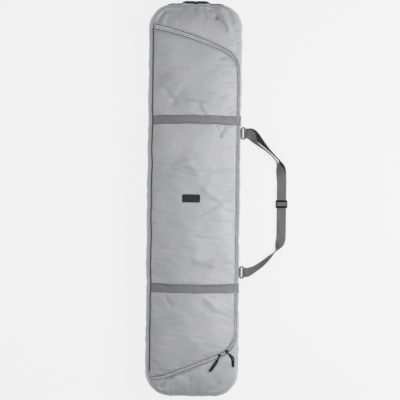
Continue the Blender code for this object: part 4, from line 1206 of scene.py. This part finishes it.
RETURN_ROUTE = [
    (STRAP_X, 0.0210, 0.0034, 0),
    (STRAP_X, 0.0560, 0.0030, 0),
    (0.3600, 0.0870, 0.0032, 0),
    (0.3590, 0.1010, 0.0050, 10),
    (0.3590, 0.1345, 0.0135, 42),
    (0.3490, 0.1635, 0.0210, 84),
    (0.3285, 0.1865, 0.0225, 86),
    (0.3035, 0.2110, 0.0260, 80),
    (0.2800, 0.2350, 0.0330, 66),
    (0.2610, 0.2550, 0.0410, 50),
    (0.2450, 0.2690, 0.0425, 28),
    (0.2330, 0.2750, 0.0465, 8),
    (0.2210, 0.2750, 0.0545, 0),
    (0.2120, 0.2738, 0.0570, 0),
]


def strap_stations(route, count):
    rows = smooth_route(route, count)
    ahead = np.gradient(rows[:, :3], axis=0)
    ahead[:, 2] = 0.0
    outward = np.cross(unit(ahead), (0.0, 0.0, 1.0))
    tilt = np.radians(rows[:, 3])[:, None]
    across = outward * np.cos(tilt) + np.array([[0.0, 0.0, 1.0]]) * np.sin(tilt)
    return rows[:, :3], across


def build_strap():
    profile = strip_profile(WEB_WIDTH / 2, WEB_THICK, -WEB_THICK / 2, 7)
    places, across = strap_stations(STRAP_ROUTE, 200)
    swept("shoulder_strap", strip_rings(places, across, profile), STRAP, "strap")
    rings = strip_rings(*strap_stations(RETURN_ROUTE, 150), profile)
    # the return run takes the darker copy of the strap's webbing, as painted shade
    swept("strap_return", rings, STRAP_PAINTED_SHADE, ("adjuster", "strap"))
    # bar tacks where the strap is sewn to its end loops
    seams = []
    for places_end, across_end in ((places[:9], across[:9]), (places[-9:], across[-9:])):
        up = unit(np.cross(across_end, np.gradient(places_end, axis=0)))
        for offset in (-0.014, -0.007, 0.0, 0.007, 0.014):
            line = places_end + across_end * offset + up * (WEB_THICK / 2)
            seams.append((line, up))
    stitches("strap_end_stitching", seams, DARK_THREAD_AND_SHADE, "strap", *STRAP_STITCH)


def arc(radius, start, end, count):
    angles = np.radians(np.linspace(start, end, count))
    return np.stack([radius * np.cos(angles), radius * np.sin(angles)], -1)


RING_WIRE = 0.0020
RING_HALF_SPAN = 0.0225
RING_DEPTH = 0.0140
RING_X = HALF_WIDTH + 0.0150 + 0.0052
RING_Z = 0.060
LEAN = Matrix.Rotation(math.radians(6.5), 4, "Y")
UPRIGHT = Matrix.Rotation(math.radians(90), 4, "X")
LOOP_RADIUS = RING_WIRE + 0.0005 + WEB_THICK / 2


def loop_path(leg, shift):
    """The middle line of webbing that runs up, round a wire at the origin, and back down."""
    half = WEB_THICK / 2
    down = np.linspace(-leg, -0.0068, 9)
    first = np.stack([np.full(9, half + shift), down], -1)
    last = np.stack([np.full(9, -half + shift), down[::-1]], -1)
    eye = arc(LOOP_RADIUS, -62, 242, 22)
    return smooth_route(np.concatenate([first, eye, last]), 74)


def build_loops():
    for label, y, angle, leg in RING_PLACES:
        corner = 0.0045
        outline = rounded_outline(RING_DEPTH / 2, RING_HALF_SPAN, corner, 7)
        wire = [(RING_X + RING_DEPTH / 2 + px, y + py, RING_Z) for px, py in outline]
        rings = tube_rings(dense_loop(wire, 0.0022), RING_WIRE + 0.0002, 16, closed=True)
        swept(f"ring_{label}", rings, PLASTIC, "strap", closed=True)
        sewn_on = Matrix.Translation((RING_X, y, RING_Z)) @ LEAN @ UPRIGHT
        chape = loop_rings(loop_path(0.0330, -0.0025), sewn_on, 0.0360)
        swept(f"chape_{label}", chape, BAND, "shell")
        turn = UPRIGHT @ Matrix.Rotation(math.radians(90 + angle), 4, "Z")
        place = Matrix.Translation((RING_X + RING_DEPTH, y, RING_Z)) @ turn
        wrap = loop_rings(loop_path(leg + 0.0015, 0.0), place, WEB_WIDTH - 0.001)
        swept(f"strap_wrap_{label}", wrap, STRAP, "strap")
        # the chape's tail is sewn to the gusset with a crossed box
        up = (sewn_on.to_3x3() @ Vector((1, 0, 0))).normalized()
        seams = []
        for flat in box_cross(0.0130, 0.0095):
            top = 0.0009 - 0.0025 + WEB_THICK / 2
            places = [sewn_on @ Vector((top, -0.0205 + py, px)) for px, py in flat]
            seams.append((np.array(places), np.tile(np.array(up), (len(flat), 1))))
        stitches(f"chape_stitching_{label}", seams, DARK_THREAD_AND_SHADE, "shell", *TACK_STITCH)


def box_cross(half_x, half_y):
    """The six lines of a sewn box with a cross in it, each as 16 places."""
    a, b, c, d = (-half_x, -half_y), (half_x, -half_y), (half_x, half_y), (-half_x, half_y)
    t = np.linspace(0, 1, 16)[:, None]
    lines = ((a, b), (b, c), (c, d), (d, a), (a, c), (b, d))
    return [np.array(first) * (1 - t) + np.array(last) * t for first, last in lines]


def loop_rings(path, place, width):
    """A strip of webbing whose middle line lies in one plane and whose width crosses it."""
    profile = strip_profile(width / 2, WEB_THICK, -WEB_THICK / 2, 5)
    places = np.array([place @ Vector((p[0], p[1], 0.0)) for p in path])
    across = np.array(place.to_3x3() @ Vector((0, 0, 1)))
    return strip_rings(places, np.tile(across, (len(path), 1)), profile)


def rounded_outline(half_x, half_y, radius, steps):
    corners = (
        (half_x - radius, half_y - radius, 0),
        (-half_x + radius, half_y - radius, 90),
        (-half_x + radius, -half_y + radius, 180),
        (half_x - radius, -half_y + radius, 270),
    )
    points = []
    for x, y, start in corners:
        points += [(x + p[0], y + p[1]) for p in arc(radius, start, start + 90, steps)]
    return points


def dense_loop(points, step):
    """A closed path with its long straights divided."""
    out = []
    points = [np.array(p, float) for p in points]
    for a, b in zip(points, points[1:] + points[:1]):
        count = max(1, round(float(np.linalg.norm(b - a)) / step))
        out += [a + (b - a) * k / count for k in range(count)]
    return np.array(out)


GLIDE_Y = -0.0130
GLIDE_LOW = STRAP_Z + WEB_THICK / 2 + 0.0004
GLIDE_HIGH = GLIDE_LOW + 0.0030
GLIDE_REACH = 0.0220  # from the middle to where the bar meets the frame
BAR_Z = 0.0034


def frame_rings(outer, inner, low, high, soften):
    """A moulded frame between two outlines with the same number of points."""
    outer, inner = np.array(outer), np.array(inner)
    rings = []
    for o, i in zip(outer, inner):
        out = (o - i) / np.linalg.norm(o - i)
        section = []
        for base, direction in ((o, -1), (i, 1)):
            first, last = (low, high) if direction < 0 else (high, low)
            for z, sign in ((first, 1), (last, -1)):
                rise = soften * (1 if z == low else -1)
                a = base + out * direction * soften
                pair = [(*a, z), (*base, z + rise)]
                section += pair if sign > 0 else pair[::-1]
        rings.append(section)
    return np.array(rings)


def build_glide():
    outer = rounded_outline(0.0238, 0.0162, 0.0042, 6)
    inner = rounded_outline(0.0198, 0.0080, 0.0022, 6)
    outer = [(STRAP_X + x, GLIDE_Y + y) for x, y in outer]
    inner = [(STRAP_X + x, GLIDE_Y + y) for x, y in inner]
    rings = frame_rings(outer, inner, GLIDE_LOW, GLIDE_HIGH, 0.0007)
    bevelled(swept("tri_glide", rings, PLASTIC, "adjuster", closed=True), 0.0003)
    section = rounded_outline(0.0025, 0.0010, 0.0006, 4)
    ends = (STRAP_X - GLIDE_REACH, STRAP_X + GLIDE_REACH)
    rings = [[(x, GLIDE_Y + a, BAR_Z + u) for a, u in section] for x in ends]
    swept("tri_glide_bar", rings, PLASTIC, "adjuster")
    for label, x in zip(("left", "right"), ends):
        section = rounded_outline(0.0015, 0.0045, 0.0006, 4)
        levels = (0.0026, GLIDE_LOW + 0.0015)
        rings = [[(x + a, GLIDE_Y + b, z) for a, b in section] for z in levels]
        swept(f"tri_glide_cheek_{label}", rings, PLASTIC, "adjuster")
    # the strap's end, round the bar and sewn back on itself
    web = 0.0012
    high = BAR_Z + 0.0013 + web / 2
    low = BAR_Z - 0.0013 - web / 2
    eye = arc((high - low) / 2, 90, 270, 12)
    path = (
        [(0.034, high), (0.020, high), (0.008, high), (0.000, high)]
        + [(-0.0026 + p[0] * 0.8, BAR_Z + p[1]) for p in eye]
        + [(0.000, low), (0.008, low), (0.020, low), (0.034, low)]
    )
    rows = smooth_route([(STRAP_X, GLIDE_Y + y, z) for y, z in path], 60)
    across = np.tile((1.0, 0.0, 0.0), (len(rows), 1))
    profile = strip_profile(0.0180, web, -web / 2, 5)
    swept("strap_tail", strip_rings(rows, across, profile), STRAP, "adjuster")


def bevelled(obj, width):
    bevel = obj.modifiers.new("edge", "BEVEL")
    bevel.width = width
    bevel.segments = 2
    bevel.limit_method = "ANGLE"
    bevel.angle_limit = math.radians(35)


HANDLE_Z = 0.058
HANDLE_HALF_WIDTH = 0.015


def build_handle():
    lo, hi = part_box("haul_handle")
    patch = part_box("handle_patch_left")
    patch_y = (patch[0].y + patch[1].y) / 2
    steps = 90
    share = np.linspace(0, 1, steps + 1)
    reach = np.abs(2 * share - 1)
    lift = eased(np.clip((0.9 - reach) / 0.36, 0, 1))
    dent = 0.0016 * np.exp(-(((share - 0.5) / 0.035) ** 2))
    x = (hi.x - 0.0002) * (2 * share - 1)
    y = patch_y + 0.0078 * lift - dent
    z = HANDLE_Z - 0.010 * lift
    tilt = np.radians(90 - 20 * lift)
    across = np.stack([0 * x, -np.cos(tilt), np.sin(tilt)], -1)
    places = np.stack([x, y, z], -1)
    # the middle is folded over so that it is narrower and thicker where a hand goes
    grip = eased(np.clip((0.62 - reach) / 0.12, 0, 1))
    base = strip_profile(HANDLE_HALF_WIDTH, WEB_THICK, 0.0, 7)
    a, u = np.transpose(base)
    a = a * (1 - 0.16 * grip)[:, None]
    u = (u - WEB_THICK / 2) * (1 + 1.8 * grip)[:, None]
    up = np.cross(across, unit(np.gradient(places, axis=0)))
    rings = places[:, None] + across[:, None] * a[..., None] + up[:, None] * u[..., None]
    swept("haul_handle", rings, BLACK_WEB, "handle")
    for label in ("left", "right"):
        lo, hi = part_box(f"handle_patch_{label}")
        distance = RING_QUARTER - np.linspace(lo.x, hi.x, 24)
        profile = np.array(strip_profile(HANDLE_HALF_WIDTH, WEB_THICK, 0.0002, 7))
        arcs = end_arc(HANDLE_Z + profile[:, 0])
        rings = side_at(distance[:, None], arcs[None, :], profile[None, :, 1])
        swept(f"handle_patch_{label}", rings, BLACK_WEB, "shell")
        seams = []
        for flat in box_cross(0.0115, 0.0115):
            distance = RING_QUARTER - (lo.x + hi.x) / 2 - flat[:, 0]
            arcs = end_arc(HANDLE_Z + flat[:, 1])
            low = side_at(distance, arcs, 0.0002 + WEB_THICK)
            high = side_at(distance, arcs, 0.0012 + WEB_THICK)
            seams.append(with_normals(low, high))
        stitches(f"handle_stitching_{label}", seams, DARK_THREAD_AND_SHADE, "shell", *TACK_STITCH)


def end_arc(z):
    """How far down the gusset from the front seam a height lies."""
    return np.interp(-np.asarray(z), -SECTION[:, 1], SECTION_ARC)


# ---------------------------------------------------------------- sliders and pulls
def surface_frame(length, lift, offset=0.0):
    """A frame on the zipper: X along it towards the foot's hinge end, Z out of the cloth."""
    step = 0.004

    def place(along, aside):
        return skin_at(*zip_at(length + along, offset + aside), 0.0)

    here = place(0.0, 0.0)
    ahead = place(step, 0.0) - place(-step, 0.0)
    across = place(0.0, step) - place(0.0, -step)
    ahead, across = Vector(ahead).normalized(), Vector(across)
    up = ahead.cross(across).normalized()
    across = up.cross(ahead)
    turn = Matrix((ahead, across, up)).transposed().to_4x4()
    return Matrix.Translation(Vector(here) + up * lift) @ turn


def lofted(name, place, outline, layers, material, body):
    """A solid of one outline stacked in layers, each with its height and its scale."""
    rings = [[place @ Vector((x * k, y * k, z)) for x, y in outline] for z, k in layers]
    bevelled(swept(name, np.array(rings), material, body, smooth=False), 0.00025)


def zip_length_near(x, y):
    lengths = np.linspace(0, ZIP_LENGTHS[-1], 4000)
    px, py = zip_at(lengths)
    return float(lengths[np.argmin(np.hypot(px - x, py - y))])


PULLS = (
    (
        "left",
        zip_length_near(0.1113, -0.627),
        [(-0.0010, -0.0060), (-0.0085, -0.0190), (-0.0240, -0.0430), (-0.0390, -0.0640)],
    ),
    (
        "right",
        zip_length_near(0.1397, -0.610),
        [(0.0020, -0.0060), (0.0120, -0.0150), (0.0235, -0.0320), (0.0270, -0.0640)],
    ),
)


def slider_outline():
    """Plan of a slider's plates: two shoulders at the mouth and a narrow tail."""
    half = [(-0.0065, 0.0026), (-0.0052, 0.0034), (-0.0010, 0.0037), (0.0030, 0.0044),
            (0.0052, 0.0045), (0.0062, 0.0036), (0.0058, 0.0014)]
    return [(x, y) for x, y in half] + [(x, -y) for x, y in half[::-1]]


def build_slider(side, length, pull):
    base = surface_frame(length, 0.0016)
    layers = ((0, 0.94), (0.0004, 1), (0.0010, 1), (0.0011, 0.74), (0.0021, 0.74),
              (0.0022, 1), (0.0029, 1), (0.0033, 0.93))
    body = f"slider_{side}"
    lofted(f"slider_{side}_body", base, slider_outline(), layers, METAL, body)
    top = 0.0033
    rise = [(-0.0045, top - 0.0004), (-0.0044, top + 0.0016), (-0.0036, top + 0.0028),
            (-0.0012, top + 0.0032), (0.0014, top + 0.0032), (0.0036, top + 0.0026),
            (0.0044, top + 0.0014), (0.0045, top - 0.0004)]
    path = smooth_route([(x, 0.0, z) for x, z in rise], 30)
    places = np.array([base @ Vector(p) for p in path])
    across = np.tile(np.array(base.to_3x3() @ Vector((0, 1, 0))), (len(places), 1))
    rings = strip_rings(places, across, strip_profile(0.0013, 0.0011, -0.00055, 3))
    swept(f"slider_{side}_bridge", rings, METAL, body)
    build_pull(side, base @ Vector((0.0, 0.0, top + 0.0016)), pull)


PULL_STATIONS = 97
TAB = slice(0, 28)  # the stations of the metal tab, the cord's loop and the grip
CORD = slice(24, 68)
GRIP = slice(62, PULL_STATIONS)


def build_pull(side, hinge, pull):
    places = []
    for x, y in pull:
        px, py = hinge.x + x, hinge.y + y
        places.append((px, py, float(front_height(px, py)) + 0.0066))
    places[0] = (places[0][0], places[0][1], hinge.z + 0.0006)
    route = smooth_route(places, PULL_STATIONS)
    cloth = front_at(route[:, 0], route[:, 1], 0.0)[:, 2]
    rest = np.clip((np.arange(PULL_STATIONS) - 8) / 26, 0, 1)
    route[:, 2] = np.maximum(route[:, 2] - 0.0022 * rest, cloth + 0.0056)
    ahead = unit(np.gradient(route, axis=0))
    sideways = unit(np.cross(ahead, (0.0, 0.0, 1.0)))
    body = f"pull_{side}"
    # stamped tab: narrow neck in the bridge, wide eye for the cord
    share = np.linspace(0, 1, TAB.stop)
    wide = 0.55 + 0.5 * share - 0.32 * np.exp(-(((share - 0.35) / 0.16) ** 2))
    wide *= np.sqrt(np.clip(1.04 - np.abs(2 * share - 1) ** 6, 0.05, 1))
    base = strip_profile(0.0042, 0.0015, -0.00075, 4)
    a, u = np.transpose(base)[:, None, :, None]
    up = np.cross(sideways[TAB], ahead[TAB])[:, None]
    rings = route[TAB][:, None] + sideways[TAB][:, None] * a * wide[:, None, None] + up * u
    swept(f"pull_{side}_tab", rings, METAL, body)
    middle, along = route[CORD], ahead[CORD] * 0.0010
    share = np.linspace(0, 1, len(middle))
    spread = 0.0024 + 0.0014 * np.sin(math.pi * share) ** 0.6
    aside = sideways[CORD] * spread[:, None]
    ends = [middle[0] - along[0]], [middle[-1] + along[-1]]
    path = np.concatenate([ends[0], middle + aside, ends[1], (middle - aside)[::-1]])
    rings = tube_rings(path, 0.0024, 10, closed=True)
    swept(f"pull_{side}_cord", rings, BLACK_WEB, body, closed=True)
    grip = route[GRIP]
    share = np.linspace(0, 1, len(grip))
    radius = 0.0053 * np.clip(np.minimum(share / 0.10, (1 - share) / 0.08), 0.35, 1) ** 0.5
    radius *= 1.0 - 0.10 * (np.sin(share * math.pi * 12) > 0.2) * (share > 0.15) * (share < 0.88)
    swept(f"pull_{side}_grip", tube_rings(grip, radius, 14), PLASTIC, body)


def build_stops():
    for name, length in (
        ("zipper_stop_head", ZIP_MARGIN_HEAD + 0.005),
        ("zipper_stop_foot", ZIP_LENGTHS[-1] - ZIP_MARGIN_FOOT - 0.005),
    ):
        base = surface_frame(length, 0.0013, 0.0026)
        outline = rounded_outline(0.0025, 0.0036, 0.0009, 4)
        layers = ((0, 1.0), (0.0010, 1.0), (0.0015, 0.9), (0.0017, 0.7))
        lofted(name, base, outline, layers, COIL, "shell")


def build_print():
    """A plain printed patch on the front, with nothing on it."""
    half_x, half_y, radius = 0.036, 0.0165, 0.005
    centre = (-0.010, 0.006)
    v = np.linspace(-1, 1, 26)[:, None]
    past = np.clip(np.abs(v * half_y) - (half_y - radius), 0, radius)
    wide = half_x - radius + np.sqrt(np.maximum(radius**2 - past**2, 0))
    x = centre[0] + np.linspace(-1, 1, 46)[None, :] * wide
    y = centre[1] + v * half_y + 0 * x
    points = front_at(x, y, CLOTH_THICK + 0.0003)
    panel("blank_print", points, 0.0003, PRINT, "flap")


build_flap()
build_yoke("head_yoke", 1)
build_yoke("foot_yoke", -1)
SIDE_END = 0.640
HALF_TURN = 2 * RING_QUARTER
LEFT_ENDS = (HALF_TURN - RING_SIDE + 0.02, HALF_TURN + RING_SIDE - 0.02)
build_gusset("right_gusset", -SIDE_END, SIDE_END, True)
build_gusset("head_gusset", SIDE_END, LEFT_ENDS[0], False)
build_gusset("left_gusset", *LEFT_ENDS, False)
build_gusset("foot_gusset", LEFT_ENDS[1], 2 * HALF_TURN - SIDE_END, False)
build_back()
build_bottom_binding()
build_piping()
build_zipper()
build_bands()
build_hem_edges()
build_hem_stitching()
build_strap()
build_loops()
build_glide()
build_handle()
for side_name, place_on_zip, pull_route in PULLS:
    build_slider(side_name, place_on_zip, pull_route)
build_stops()
build_print()


# ---------------------------------------------------------------- camera, floor and light
LENS = 198.5
CLIP_END = 40.0
CAMERA_PLACE = (0.026, 0.0, 9.05)
CAMERA_UP = (-0.0122, 1.0, 0.0)
FLOOR_REACH = 6.0
FLOOR_DROP = 0.0006
FLOOR_GLOW = 0.83
AIM = (0.0, 0.0, 0.05)


def build_floor():
    mesh = bpy.data.meshes.new("floor")
    ways = ((-1, -1), (1, -1), (1, 1), (-1, 1))
    corners = [(x * FLOOR_REACH, y * FLOOR_REACH, 0) for x, y in ways]
    mesh.from_pydata(corners, [], [(0, 1, 2, 3)])
    s = Shader("floor_look")
    where = s.coordinates()
    base = s.mix(s.noise(where, 3.0), grey(64), grey(65))
    glow = {"Emission_Color": (1.0, 1.0, 1.0, 1.0), "Emission_Strength": FLOOR_GLOW}
    mesh.materials.append(s.finish(base, 0.9, Specular_IOR_Level=0.1, **glow))
    obj = bpy.data.objects.new("floor", mesh)
    obj.location.z = -FLOOR_DROP
    return linked(obj)


def area_light(name, place, target, size, power):
    data = bpy.data.lights.new(name, "AREA")
    data.shape = "RECTANGLE"
    data.size, data.size_y = size
    data.energy = power
    obj = bpy.data.objects.new(name, data)
    obj.location = place
    obj.rotation_euler = (Vector(target) - Vector(place)).to_track_quat("-Z", "Y").to_euler()
    return linked(obj)


def build_camera():
    data = bpy.data.cameras.new("camera")
    data.sensor_width = 36.0
    data.lens = LENS
    data.clip_end = CLIP_END
    obj = bpy.data.objects.new("camera", data)
    place = Vector(CAMERA_PLACE)
    up = Vector(CAMERA_UP).normalized()
    back = Vector((0.0, 0.0, 1.0))
    right = up.cross(back).normalized()
    turn = Matrix((right, up, back)).transposed().to_4x4()
    obj.matrix_world = Matrix.Translation(place) @ turn
    bpy.context.scene.camera = linked(obj)
    return obj


def shape_world(made):
    """Soft light from above and both sides, falling off to a cool dusk towards the bag's ends."""
    tree = made.node_tree
    back = tree.nodes["Background"]
    where = tree.nodes.new("ShaderNodeTexCoord")
    parts = tree.nodes.new("ShaderNodeSeparateXYZ")
    size = tree.nodes.new("ShaderNodeMath")
    size.operation = "ABSOLUTE"
    ramp = tree.nodes.new("ShaderNodeValToRGB")
    ramp.color_ramp.elements[0].position = 0.15
    ramp.color_ramp.elements[0].color = (0.60, 0.60, 0.60, 1.0)
    ramp.color_ramp.elements[1].position = 0.80
    ramp.color_ramp.elements[1].color = (0.082, 0.081, 0.135, 1.0)
    tree.links.new(where.outputs["Generated"], parts.inputs[0])
    tree.links.new(parts.outputs["Y"], size.inputs[0])
    tree.links.new(size.outputs[0], ramp.inputs["Fac"])
    tree.links.new(ramp.outputs["Color"], back.inputs["Color"])
    back.inputs["Strength"].default_value = 1.0


world = bpy.data.worlds.new("studio")
world.use_nodes = True
shape_world(world)
bpy.context.scene.world = world
bpy.context.scene.view_settings.view_transform = "Standard"
stage = [
    build_floor(),
    area_light("key", (1.55, 0.03, 1.40), AIM, (0.9, 1.1), 33.5),
    area_light("fill", (-1.9, 0.4, 2.2), AIM, (2.0, 2.0), 17.0),
    build_camera(),
]
